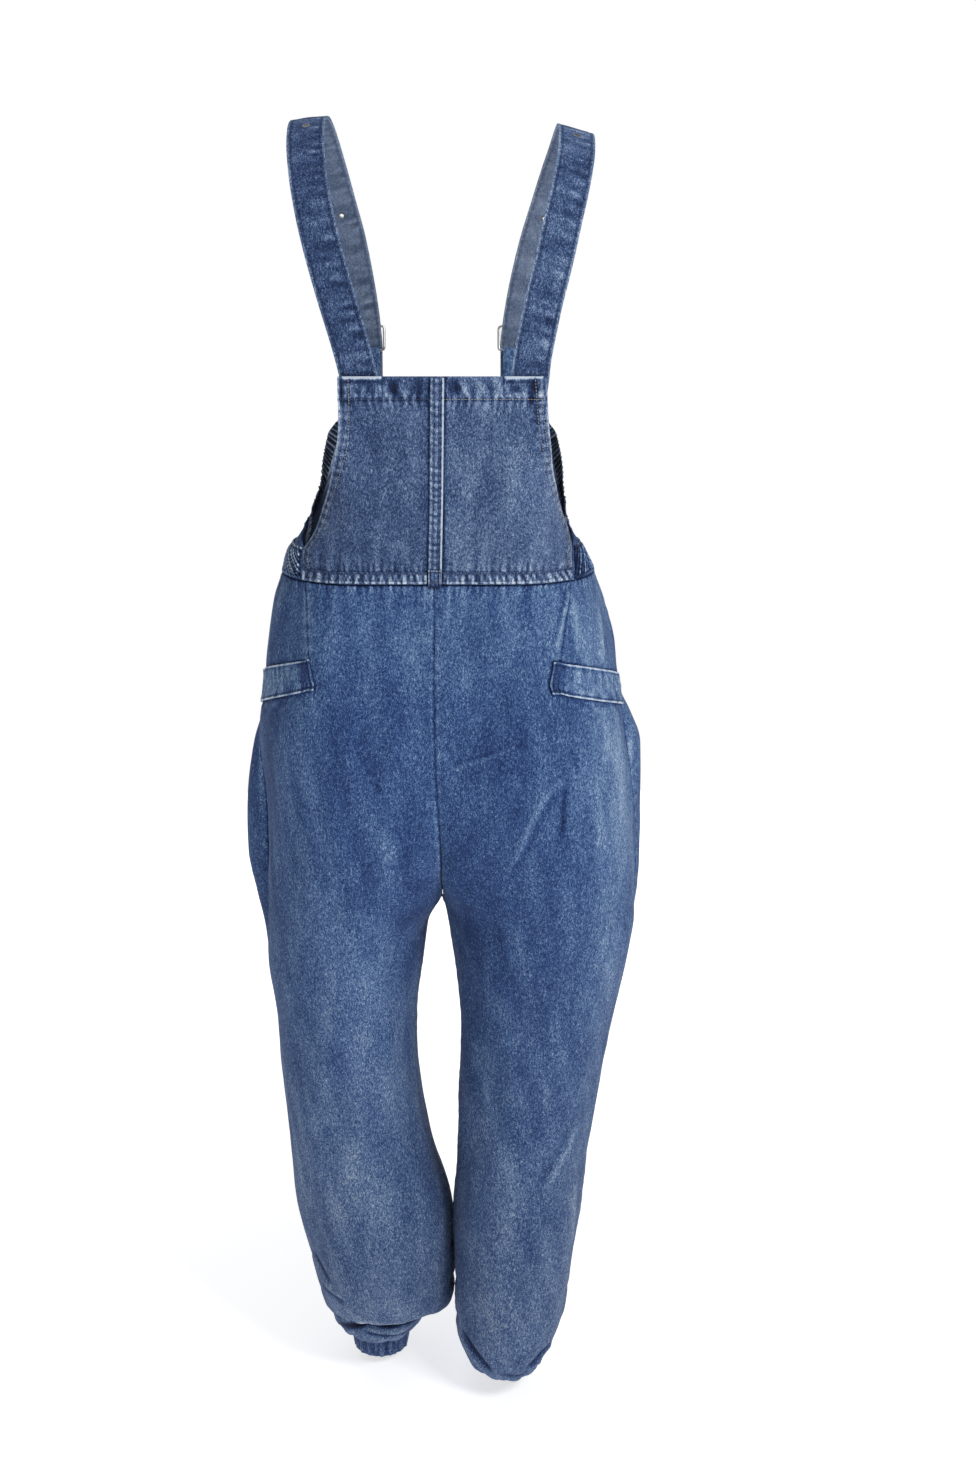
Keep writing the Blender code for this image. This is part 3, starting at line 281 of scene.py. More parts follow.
def arc(p0: Sequence, p1: Sequence, p2: Sequence, p3: Sequence, count: int = 20) -> np.ndarray:
    """A cubic curve through the plane, as count + 1 points."""
    t = np.linspace(0, 1, count + 1)[:, None]
    p0, p1, p2, p3 = (np.asarray(p, float) for p in (p0, p1, p2, p3))
    return (1 - t)**3 * p0 + 3 * (1 - t)**2 * t * p1 + 3 * (1 - t) * t * t * p2 + t**3 * p3


def back_curve(inner: float, turn: float, flat: float, edge: float, back: float, seam: float,
               seam_y: float) -> np.ndarray:
    """Centre back, or inseam, to side seam, in plan."""
    peak = edge + flat * (seam - edge)
    angle = math.radians(turn)
    reach = (1 - turn / 90) * 0.5 * (peak - edge) + turn / 90 * 0.55 * abs(back - inner)
    first = arc((edge, inner), (edge + reach * math.cos(angle), inner + reach * math.sin(angle)),
                (peak - 0.5 * (peak - edge), back), (peak, back))
    second = arc((peak, back), (peak + 0.62 * (seam - peak), back),
                 (seam, seam_y + 0.5 * (back - seam_y)), (seam, seam_y))
    return np.vstack((first, second[1:]))


def front_curve(inner: float, turn: float, flat: float, edge: float, front: float, seam: float,
                seam_y: float, lobe: float) -> np.ndarray:
    """Side seam to centre front, or inseam, in plan."""
    peak = edge + flat * (seam - edge)
    angle = math.radians(turn)
    reach = (1 - turn / 90) * 0.5 * (peak - edge) + turn / 90 * 0.55 * abs(front - inner)
    first = arc((seam, seam_y), (seam + 3.3 * lobe, seam_y + 0.5 * (front - seam_y) + 0.9 * lobe),
                (peak + 0.62 * (seam - peak), front), (peak, front))
    second = arc((peak, front), (peak - 0.5 * (peak - edge), front),
                 (edge + reach * math.cos(angle), inner - reach * math.sin(angle)), (edge, inner))
    return np.vstack((first, second[1:]))


def unit(vectors: np.ndarray) -> np.ndarray:
    """Vectors made one long, along their last axis."""
    return vectors / np.linalg.norm(vectors, axis=-1, keepdims=True)


def closest(values: np.ndarray, wanted: float) -> int:
    """Index of the value that is closest to the wanted one."""
    return int(np.argmin(abs(values - wanted)))


def read(at: np.ndarray, keys: np.ndarray, rows: np.ndarray) -> np.ndarray:
    """Rows of a table at places between its keys, each column interpolated."""
    return np.stack([np.interp(at, keys, rows[:, k]) for k in range(rows.shape[1])], axis=-1)


def lengths(line: np.ndarray) -> np.ndarray:
    """Length along a polyline, from its first point to each of its points."""
    return np.concatenate(([0.0], np.cumsum(np.linalg.norm(np.diff(line, axis=0), axis=1))))


def shares(curve: np.ndarray) -> np.ndarray:
    """How far along a polyline each of its points is, from 0 to 1."""
    length = lengths(curve)
    return length / length[-1]


def along(curve: np.ndarray, fractions: np.ndarray) -> np.ndarray:
    """Points of a polyline at fractions of its length."""
    return read(fractions, shares(curve), curve)


def bell(away: np.ndarray, width: float) -> np.ndarray:
    """A soft bump: 1 at zero, and nearly gone two widths away."""
    return np.exp(-(away / width)**2)


def torso_curves(z: float, side: int) -> Tuple[np.ndarray, np.ndarray]:
    """Back and front plan curves of one half of the upper body at a height."""
    row = hermite([r[0] for r in TORSO], TORSO, z)
    _, left, right, back, front, flat_b, flat_f = row
    width = left if side > 0 else right
    return (back_curve(back, 0, flat_b, 0.0, back, width, 0.0),
            front_curve(front, 0, flat_f, 0.0, front, width, 0.0, 0.0))


def back_points(xs: np.ndarray, z: float) -> np.ndarray:
    """Points of the upper back at signed x values of one side and a height."""
    side = 1 if xs.mean() >= 0 else -1
    curve = torso_curves(z, side)[0]
    return np.stack((xs, np.interp(np.abs(xs), curve[:, 0], curve[:, 1]), np.full(len(xs), z)), axis=1)


def back_depths(xs: np.ndarray, z: float) -> np.ndarray:
    """Depths of the upper back at signed x values of both sides and a height."""
    return np.array([back_points(np.array([x]), z)[0, 1] for x in xs])


def round_points(stations: np.ndarray, z: float, side: int) -> np.ndarray:
    """Points round the upper body; station 0 is the centre back, 1 the side, 2 the centre front."""
    back, front = torso_curves(z, side)
    plan = np.where((stations <= 1)[:, None], along(back, np.clip(stations, 0, 1)),
                    along(front, np.clip(stations - 1, 0, 1)))
    return np.stack((side * plan[:, 0], plan[:, 1], np.full(len(stations), z)), axis=1)


def spread(length: float, pitch: float, fine: float = 0.8) -> np.ndarray:
    """Fractions from 0 to 1 about a pitch apart, closer together towards both ends.

    Args:
        length: the length they divide, in millimetres.
        pitch: the distance between them in the middle.
        fine: the distance at the ends.

    Returns:
        The fractions, rising.
    """
    even = np.linspace(0, 1, max(2, round(length / pitch)) + 1)
    near = np.array([1.0, 2.2, 3.8]) * fine / length
    found = [0.0]
    for value in np.sort(np.concatenate((even, near, 1 - near))):
        if value - found[-1] > 0.6 * fine / length:
            found.append(float(value))
    found[-1] = 1.0
    return np.array(found)


def ruffle(at: np.ndarray, pitch: float, seed: int) -> np.ndarray:
    """An uneven wave between -1 and 1 whose gathers are about a pitch apart."""
    rng = np.random.default_rng(seed)
    count = int((at.max() - at.min()) / pitch * 2.6) + 12
    gaps = pitch * 0.5 * rng.uniform(0.6, 1.5, count)
    knots = at.min() - 2 * pitch + np.concatenate(([0.0], np.cumsum(gaps)))
    values = rng.uniform(0.3, 1.0, count + 1) * np.where(np.arange(count + 1) % 2, -1, 1)
    k = np.clip(np.searchsorted(knots, at) - 1, 0, count - 1)
    t = np.clip((at - knots[k]) / (knots[k + 1] - knots[k]), 0, 1)
    t = t * t * (3 - 2 * t)
    return values[k] * (1 - t) + values[k + 1] * t


def rumple(points: np.ndarray, size: float, stretch: float, seed: int) -> np.ndarray:
    """Soft uneven swells of about a size across, stretch times as long upright, between -1 and 1."""
    rng = np.random.default_rng(seed)
    found = np.zeros(points.shape[:2])
    for _ in range(9):
        angle = rng.uniform(0, 2 * math.pi)
        wave = 2 * math.pi / (size * rng.uniform(0.7, 1.6))
        way = np.array([math.cos(angle), math.sin(angle), rng.uniform(-1, 1) / stretch]) * wave
        found += np.sin(points @ way + rng.uniform(0, 2 * math.pi))
    return found / 4.5


def step(low: float, high: float, value: np.ndarray) -> np.ndarray:
    """0 below low, 1 above high, and smooth between."""
    t = np.clip((value - low) / (high - low), 0, 1)
    return t * t * (3 - 2 * t)


# ---------------------------------------------------------------- finishes

def linear(code: str) -> Tuple[float, float, float, float]:
    """An sRGB hex colour as linear values with alpha 1."""
    parts = [int(code[k:k + 2], 16) / 255 for k in (1, 3, 5)]
    return (*(v / 12.92 if v <= 0.04045 else ((v + 0.055) / 1.055)**2.4 for v in parts), 1.0)


def add_node(tree: bpy.types.NodeTree, kind: str, inputs: Optional[Dict] = None,
             **settings) -> bpy.types.Node:
    """Add a shader node.

    Args:
        tree: the material's node tree.
        kind: the node's type name.
        inputs: socket name or number to a value, or to the output socket that feeds it.
        settings: properties of the node.

    Returns:
        The node.
    """
    made = tree.nodes.new(kind)
    for name, value in settings.items():
        setattr(made, name, value)
    for name, value in (inputs or {}).items():
        if isinstance(value, bpy.types.NodeSocket):
            tree.links.new(value, made.inputs[name])
        else:
            made.inputs[name].default_value = value
    return made


def add_noise(tree: bpy.types.NodeTree, place: bpy.types.NodeSocket, scale: Tuple[float, float, float],
              detail: float, roughness: float = 0.5) -> bpy.types.NodeSocket:
    """Noise over coordinates that are scaled first."""
    scaled = add_node(tree, "ShaderNodeMapping", {"Vector": place, "Scale": scale})
    return add_node(tree, "ShaderNodeTexNoise", {
        "Vector": scaled.outputs[0], "Scale": 1.0, "Detail": detail, "Roughness": roughness}).outputs[0]


def new_material(name: str) -> Tuple[bpy.types.Material, bpy.types.Node, bpy.types.NodeSocket]:
    """A material with its shader node and the object's own coordinates."""
    material = bpy.data.materials.new(name)
    material.use_nodes = True
    place = add_node(material.node_tree, "ShaderNodeTexCoord").outputs["Object"]
    return material, material.node_tree.nodes["Principled BSDF"], place


def fill_in(node: bpy.types.Node, values: Dict) -> None:
    """Set inputs of a node to fixed values."""
    for name, value in values.items():
        node.inputs[name].default_value = value


@dataclass(frozen=True)
class DenimFinish:
    """Stone-washed indigo denim: a 3/1 twill of dark warp over white weft, rubbed pale on its folds.

    The eye gets upright slubs a millimetre wide, cloudy fading, folds worn nearly white, painted shade in
    hollows and seams, and painted shade low down on the legs.
    """
    name: str
    deep: str = "#131c36"
    dark: str = "#23396a"
    body: str = "#3d5c91"
    pale: str = "#7796bb"
    white: str = "#d3dfee"
    slub: float = 0.85      # width of a warp slub; real yarn is 0.5 mm, drawn wider so that it shows
    slub_long: float = 2.1
    grain: float = 1.12     # contrast of the yarns
    cloud: float = 0.13     # contrast of the uneven wash
    faded: Tuple[float, float, float] = (1.0, 1.0, 1.0)     # multiplies the lowest cloth's colour: partly a greyer tone, partly painted shade against the floor's bounce light
    fade_heights: Tuple[float, float] = (-0.68, -1.28)      # where that begins and is full, in metres
    stops: Tuple[float, ...] = (0.0, 0.3, 0.5, 0.72, 1.0)   # wear at which each of the five tones stands
    roughness: float = 0.9

    def make(self) -> bpy.types.Material:
        """Build the material."""
        material, shader, place = new_material(self.name)
        tree = material.node_tree

        def noise(width: float, long: float, detail: float) -> bpy.types.NodeSocket:
            """Noise of a width and an upright length in millimetres."""
            return add_noise(tree, place, (1 / (width * MM), 1 / (width * MM), 1 / (long * MM)), detail, 0.6)

        def weighed(total: Optional[bpy.types.NodeSocket], part: bpy.types.NodeSocket,
                    weight: float, less: float) -> bpy.types.NodeSocket:
            """total + (part - less) * weight."""
            scaled = add_node(tree, "ShaderNodeMath", {0: part, 1: weight, 2: -less * weight},
                              operation="MULTIPLY_ADD").outputs[0]
            if total is None:
                return scaled
            return add_node(tree, "ShaderNodeMath", {0: total, 1: scaled}, operation="ADD").outputs[0]

        slubs = noise(self.slub, self.slub_long, 2.0)
        flecks = noise(0.8, 0.9, 1.0)
        total = None
        for layer, weight in (
                (slubs, self.grain), (flecks, 0.55 * self.grain), (noise(2.3, 4.6, 1.0), 0.42 * self.grain),
                (noise(7.0, 45.0, 2.0), self.cloud), (noise(42.0, 80.0, 3.0), 2.0 * self.cloud)):
            total = weighed(total, layer, weight, 0.5)
        # each point's worn tone and painted shade, as the cloth pieces lay it down
        wear = add_node(tree, "ShaderNodeAttribute", attribute_name="wear").outputs["Fac"]
        total = weighed(total, wear, 1.0, -0.5)
        ramp = add_node(tree, "ShaderNodeValToRGB", {0: total})
        tones = ramp.color_ramp.elements
        tones.remove(tones[1])
        for at, code in zip(self.stops, (self.deep, self.dark, self.body, self.pale, self.white)):
            tone = tones.new(at) if at else tones[0]
            tone.color = linear(code)
        # Low on the legs the colour is multiplied darker and greyer: partly the cloth's greyer tone, partly
        # painted shade against the floor's bounce light.
        upright = add_node(tree, "ShaderNodeSeparateXYZ", {0: place}).outputs["Z"]
        shade_top, shade_end = self.fade_heights
        low = add_node(tree, "ShaderNodeMapRange", {
            "Value": upright, 1: shade_top, 2: shade_end, 3: 0.0, 4: 1.0})
        shaded_low = add_node(tree, "ShaderNodeMix", {
            0: low.outputs[0], 6: ramp.outputs["Color"], 7: (*self.faded, 1.0)},
            data_type="RGBA", blend_type="MULTIPLY")
        tree.links.new(shaded_low.outputs[2], shader.inputs["Base Color"])
        bumped = weighed(weighed(None, slubs, 1.0, 0.5), flecks, 0.6, 0.5)
        bump = add_node(tree, "ShaderNodeBump", {"Strength": 0.45, "Distance": 0.0005, "Height": bumped})
        tree.links.new(bump.outputs["Normal"], shader.inputs["Normal"])
        fill_in(shader, {"Roughness": self.roughness, "Specular IOR Level": 0.22, "Sheen Weight": 0.04,
                         "Sheen Roughness": 0.5})
        return material


@dataclass(frozen=True)
class ThreadFinish:
    """Spun polyester topstitching thread, slightly glossy."""
    name: str
    colour: str

    def make(self) -> bpy.types.Material:
        """Build the material."""
        material, shader, place = new_material(self.name)
        tree = material.node_tree
        ramp = add_node(tree, "ShaderNodeValToRGB", {0: add_noise(tree, place, (400.0, 400.0, 400.0), 1.0)})
        base = linear(self.colour)
        for stop, factor in zip(ramp.color_ramp.elements, (0.72, 1.22)):
            stop.color = (*(min(1.0, v * factor) for v in base[:3]), 1.0)
        tree.links.new(ramp.outputs["Color"], shader.inputs["Base Color"])
        shader.inputs["Roughness"].default_value = 0.6
        return material


@dataclass(frozen=True)
class NickelFinish:
    """Nickel-plated steel, drawn and tumbled: bright, with a fine satin."""
    name: str
    colour: str = "#b9bab8"

    def make(self) -> bpy.types.Material:
        """Build the material."""
        material, shader, place = new_material(self.name)
        tree = material.node_tree
        satin = add_noise(tree, place, (900.0, 900.0, 2500.0), 2.0)
        rough = add_node(tree, "ShaderNodeMapRange", {"Value": satin, 3: 0.22, 4: 0.42})
        tree.links.new(rough.outputs[0], shader.inputs["Roughness"])
        bump = add_node(tree, "ShaderNodeBump", {"Strength": 0.1, "Distance": 0.0001, "Height": satin})
        tree.links.new(bump.outputs["Normal"], shader.inputs["Normal"])
        fill_in(shader, {"Base Color": linear(self.colour), "Metallic": 1.0})
        return material


# ---------------------------------------------------------------- cloth

@dataclass
class Cloth:
    """A sheet of cloth: a grid of points on its outer face, with relief laid over it, and worn tone and
    painted shade in its colour.
    """
    points: np.ndarray
    facing: float = 1.0
    wall: float = DENIM
    wrap: bool = False
    reverse: str = "denim_reverse"
    normal: np.ndarray = field(default=None, repr=False)
    height: np.ndarray = field(default=None, repr=False)
    # wear: paler where worn, darker where shade is painted into hollows, seams and beside raised edges
    wear: np.ndarray = field(default=None, repr=False)

    def __post_init__(self) -> None:
        """Work out the normals and start with no relief."""
        if self.normal is None:
            if self.wrap:
                across = np.roll(self.points, -1, axis=1) - np.roll(self.points, 1, axis=1)
            else:
                across = np.gradient(self.points, axis=1)
            found = np.cross(across, np.gradient(self.points, axis=0)) * self.facing
            self.normal = found / np.maximum(np.linalg.norm(found, axis=2, keepdims=True), 1e-9)
        if self.height is None:
            self.height = np.zeros(self.points.shape[:2])
        if self.wear is None:
            self.wear = np.zeros(self.points.shape[:2])

    def run(self, axis: int) -> np.ndarray:
        """Length along the rows (axis 1) or down the columns (axis 0) from the first, in millimetres."""
        steps = np.linalg.norm(np.diff(self.points, axis=axis), axis=2)
        start = [(1, 0), (0, 0)] if axis == 0 else [(0, 0), (1, 0)]
        return np.pad(np.cumsum(steps, axis=axis), start)

    def away(self, edge: Edge) -> np.ndarray:
        """Distance of each point from an edge, in millimetres."""
        axis = 0 if edge in (Edge.TOP, Edge.BOTTOM) else 1
        run = self.run(axis)
        if edge in (Edge.TOP, Edge.FIRST):
            return run
        return (run[-1:] if axis == 0 else run[:, -1:]) - run

    def beside(self, edge: Edge) -> np.ndarray:
        """Length along an edge, in millimetres."""
        return self.run(1 if edge in (Edge.TOP, Edge.BOTTOM) else 0)

    def pucker(self, away: np.ndarray, beside: np.ndarray, height: float, reach: float, pitch: float,
               seed: int, wear: float = 0.0, slant: float = 0.0, where: np.ndarray = 1.0) -> None:
        """Uneven gathers that cross a line of stitching and die out beside it.

        Args:
            away: distance of each point from the line.
            beside: length along the line.
            height: height of the gathers at the line.
            reach: distance at which they have mostly died out.
            pitch: distance between them.
            seed: which uneven wave.
            wear: how much paler their tops are, worn, and how much darker their hollows, as painted shade.
            slant: how far they lean along the line, per millimetre away.
            where: a weight for each point.
        """
        wave = ruffle(beside + slant * away, pitch, seed) * bell(away, reach) * where
        self.height += height * wave
        self.wear += wear * wave

    def groove(self, away: np.ndarray, depth: float, width: float, wear: float = 0.0,
               where: np.ndarray = 1.0) -> None:
        """A line pressed in, or raised where depth is negative; darker along it is painted shade, paler is
        worn.
        """
        shape = bell(away, width) * where
        self.height -= depth * shape
        self.wear += wear * shape

    def lines(self, edge: Edge, rows: Sequence[Tuple[float, float, float, float]]) -> None:
        """Lines pressed in beside an edge: a row each of inset, depth (raised below 0), width and wear
        (darker is painted shade, paler is worn).
        """
        away = self.away(edge)
        for inset, depth, width, wear in rows:
            self.groove(abs(away - inset), depth, width, wear)

    def crease(self, mark: Crease) -> None:
        """Lay one crease over the cloth, on the part that faces its view."""
        across, facing = mark.view.value
        spot = np.stack((self.points[..., across], self.points[..., 2]), axis=-1)
        path = np.asarray(mark.path, float)
        pieces = np.linalg.norm(np.diff(path, axis=0), axis=1)
        total = pieces.sum()
        best = np.full(spot.shape[:2], 1e9)
        signed = np.zeros(spot.shape[:2])
        share = np.zeros(spot.shape[:2])
        done = 0.0
        for start, end, length in zip(path[:-1], path[1:], pieces):
            way = (end - start) / length
            off = spot - start
            t = np.clip(off @ way, 0, length)
            gap = off - t[..., None] * way
            far = np.linalg.norm(gap, axis=2)
            side = np.sign(way[0] * off[..., 1] - way[1] * off[..., 0])
            nearer = far < best
            best = np.where(nearer, far, best)
            signed = np.where(nearer, far * side, signed)
            share = np.where(nearer, (done + t) / total, share)
            done += length
        ends = step(0.0, 0.22, share) * step(0.0, 0.22, 1 - share)
        seen = step(0.1, 0.4, self.normal @ np.asarray(facing)) * ends
        shape = bell(signed, mark.width)
        if mark.lean:
            shape = shape - 0.7 * bell(signed - 1.7 * mark.width * np.sign(mark.lean), mark.width)
        self.height += mark.height * shape * seen
        self.wear += mark.wear * shape * seen

    def fade(self, mark: Fade) -> None:
        """Lay one broad patch, worn paler or painted darker as shade, on the part that faces its view."""
        across, facing = mark.view.value
        up = self.points[..., 2] - mark.centre[1]
        over = self.points[..., across] - mark.centre[0] - mark.lean * up
        seen = step(0.0, 0.45, self.normal @ np.asarray(facing))
        shape = np.exp(-(over / mark.radii[0])**2 - (up / mark.radii[1])**2) * seen
        self.wear += mark.wear * shape
        self.height += mark.height * shape

    def part(self, rows: slice, columns: slice) -> "Cloth":
        """A piece of this cloth, cut along its grid."""
        return Cloth(self.points[rows, columns], self.facing, self.wall, normal=self.normal[rows, columns],
                     height=self.height[rows, columns].copy(), wear=self.wear[rows, columns].copy())

    def lifted(self, lift: float, wall: float) -> "Cloth":
        """A cloth of its own wall that follows this one's form at a lift, with no relief yet."""
        return Cloth(self.points + self.normal * lift, self.facing, wall, normal=self.normal)

    def face(self) -> np.ndarray:
        """Points of the outer face with its relief."""
        return self.points + self.normal * self.height[..., None]

    def course(self, edge: Edge, inset: float, start: float = 0.0,
               stop: float = 1.0) -> Tuple[np.ndarray, np.ndarray]:
        """A line on the face at a distance from an edge.

        Args:
            edge: the edge it follows.
            inset: its distance from it.
            start: the share of the edge at which it begins.
            stop: the share at which it ends.

        Returns:
            Its points and the cloth's normals there.
        """
        face, normal, away = self.face(), self.normal, self.away(edge)
        if edge in (Edge.TOP, Edge.BOTTOM):
            face, normal, away = face.transpose(1, 0, 2), normal.transpose(1, 0, 2), away.T
        count = len(face)
        lines, ways = [], []
        for k in range(round(start * (count - 1)), round(stop * (count - 1)) + 1):
            order = np.argsort(away[k])
            lines.append(read(inset, away[k][order], face[k][order]))
            ways.append(read(inset, away[k][order], normal[k][order]))
        return np.array(lines), np.array(ways)

    def turned(self, depth: float) -> "Cloth":
        """This cloth with its top edge folded over to the inside, as a hem of a depth."""
        down = self.run(0).mean(axis=1)
        rows = int(np.searchsorted(down, depth))
        gap = self.wall + TURN_GAP
        radius = gap / 2
        inner = self.points[1:rows + 1] - self.normal[1:rows + 1] * gap
        rise = unit(self.points[0] - self.points[1])
        fold = []
        for degrees in (150, 120, 90, 60, 30):
            angle = math.radians(degrees)
            fold.append(self.points[0] - self.normal[0] * radius * (1 - math.cos(angle))
                        + rise * radius * math.sin(angle))
        points = np.concatenate((inner[::-1], np.array(fold), self.points))
        extra = len(points) - len(self.points)
        made = Cloth(points, self.facing, self.wall)
        made.normal[:rows] = -self.normal[1:rows + 1][::-1]
        made.normal[extra:] = self.normal
        made.height[extra:] = self.height
        made.height[:rows] = -self.height[1:rows + 1][::-1]
        made.wear[extra:] = self.wear
        made.wear[rows:extra] = self.wear[0]
        return made

    def make(self, name: str, finish: bpy.types.Material,
             keep: Optional[np.ndarray] = None) -> bpy.types.Object:
        """Make the mesh: a grid moved to its places, with a wall of its own thickness.

        Args:
            name: the object's name.
            finish: its material.
            keep: which grid cells are cloth; all of them by default.

        Returns:
            The object.
        """
        rows, columns = self.points.shape[:2]
        face = self.face() * MM
        if self.wrap:
            face = np.concatenate((face, face[:, :1]), axis=1)
            wear = np.concatenate((self.wear, self.wear[:, :1]), axis=1)
            columns += 1
        else:
            wear = self.wear
        bm = bmesh.new()
        bmesh.ops.create_grid(bm, x_segments=columns - 1, y_segments=rows - 1, size=1.0)
        layer = bm.verts.layers.float.new("wear")
        spots = []
        for vert in bm.verts:
            i = round((1 - vert.co.y) / 2 * (rows - 1))
            j = round((vert.co.x + 1) / 2 * (columns - 1))
            spots.append((i, j))
        for vert, (i, j) in zip(bm.verts, spots):
            vert.co = face[i, j]
            vert[layer] = wear[i, j]
        if keep is not None:
            bm.verts.index_update()
            gone = []
            for cell in bm.faces:
                found = [spots[v.index] for v in cell.verts]
                if not keep[min(i for i, _ in found), min(j for _, j in found)]:
                    gone.append(cell)
            bmesh.ops.delete(bm, geom=gone, context="FACES")
        if self.wrap:
            bmesh.ops.remove_doubles(bm, verts=bm.verts, dist=1e-6)
        bm.normal_update()
        bm.faces.ensure_lookup_table()
        way = Vector(self.normal[rows // 2, 0])
        sample = min(bm.faces, key=lambda f: (f.calc_center_median() - Vector(face[rows // 2, 0])).length)
        if sample.normal.dot(way) < 0:
            bmesh.ops.reverse_faces(bm, faces=bm.faces)
        for cell in bm.faces:
            cell.smooth = True
        item = shown(name, bm, finish)
        wall = item.modifiers.new("wall", "SOLIDIFY")
        if self.reverse:
            item.data.materials.append(bpy.data.materials[self.reverse])
            wall.material_offset = 1
        wall.thickness = self.wall * MM
        wall.offset = -1.0
        return item


def shown(name: str, bm: bmesh.types.BMesh, finish: bpy.types.Material) -> bpy.types.Object:
    """Turn a bmesh into an object of the scene."""
    mesh = bpy.data.meshes.new(name)
    bm.to_mesh(mesh)
    bm.free()
    mesh.materials.append(finish)
    item = bpy.data.objects.new(name, mesh)
    bpy.context.scene.collection.objects.link(item)
    return item


@dataclass
class Stitching:
    """Rows of topstitching joined into one piece."""
    name: str
    finish: bpy.types.Material
    long: float = 2.5       # a stitch
    pitch: float = 3.3      # stitch and gap
    radius: float = 0.36
    shortest: float = 0.2   # a stitch under this is left out
    bm: bmesh.types.BMesh = field(default_factory=bmesh.new, repr=False)

    def sew(self, line: np.ndarray, normal: np.ndarray, sink: float = 0.05) -> None:
        """Sew a row along a line on the cloth."""
        length = lengths(line)
        total = max(1, int(length[-1] / self.pitch))
        for at in (np.arange(total) + 0.5) * self.pitch:
            ends = read(np.array((at - self.long / 2, at + self.long / 2)), length, line)
            up = Vector(read(at, length, normal)).normalized()
            way = Vector(ends[1] - ends[0])
            if way.length < self.shortest:
                continue
            way.normalize()
            across = up.cross(way).normalized()
            up = way.cross(across)
            middle = Vector(ends.mean(axis=0)) + up * (self.radius * 0.6 - sink)
            spin = Matrix((way * self.long / 2, across * self.radius, up * self.radius * 0.8)).transposed()
            place = Matrix.Translation(middle * MM) @ Matrix.Scale(MM, 4) @ spin.to_4x4()
            bmesh.ops.create_uvsphere(self.bm, u_segments=6, v_segments=4, radius=1.0, matrix=place)

    def make(self) -> bpy.types.Object:
        """Join the stitches into one object."""
        for cell in self.bm.faces:
            cell.smooth = True
        return shown(self.name, self.bm, self.finish)


@dataclass
class Workshop:
    """What every sub-assembly needs: the finishes, and how a finished piece is put on the body."""
    finishes: Dict[str, bpy.types.Material]

    def enter(self, item: bpy.types.Object, node: str,
              extras: Sequence[bpy.types.Object] = ()) -> None:
        """Ride a cloth piece and its extras on the body, in the place of its solid, which is hidden."""
        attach(item, "root")
        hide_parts(node)
        for extra in extras:
            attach(extra, "root")
        LOG.info("%s: %d faces", item.name, len(item.data.polygons))

    def stitching(self, name: str, pale: bool = False, **sizes: float) -> Stitching:
        """A new, empty piece of stitching."""
        return Stitching(name, self.finishes["thread_pale" if pale else "thread"], **sizes)


def bevelled(item: bpy.types.Object, width: float, segments: int = 2) -> bpy.types.Object:
    """Round the rims of a cloth piece."""
    rim = item.modifiers.new("rim", "BEVEL")
    rim.width = width * MM
    rim.segments = segments
    rim.limit_method = "ANGLE"
    rim.angle_limit = math.radians(60)
    return item


def sampled(cloth: Cloth, i: np.ndarray, j: np.ndarray) -> Tuple[np.ndarray, np.ndarray]:
    """Points and normals of a cloth's face at fractional rows and columns."""
    rows, columns = cloth.points.shape[:2]
    a = np.clip(np.floor(i).astype(int), 0, rows - 2)
    b = np.clip(np.floor(j).astype(int), 0, columns - 2)
    u, v = (i - a)[..., None], (j - b)[..., None]

    def mixed(grid: np.ndarray) -> np.ndarray:
        """Bilinear mean of a grid's four values."""
        return (grid[a, b] * (1 - u) * (1 - v) + grid[a + 1, b] * u * (1 - v)
                + grid[a, b + 1] * (1 - u) * v + grid[a + 1, b + 1] * u * v)

    return mixed(cloth.face()), unit(mixed(cloth.normal))


def laid_on(cloth: Cloth, i: np.ndarray, j: np.ndarray, lift: float, wall: float) -> Cloth:
    """A cloth of its own wall, laid on another at a lift above its face."""
    places, normal = sampled(cloth, i, j)
    return Cloth(places + normal * (lift + wall), cloth.facing, wall, normal=normal)


# ---------------------------------------------------------------- legs

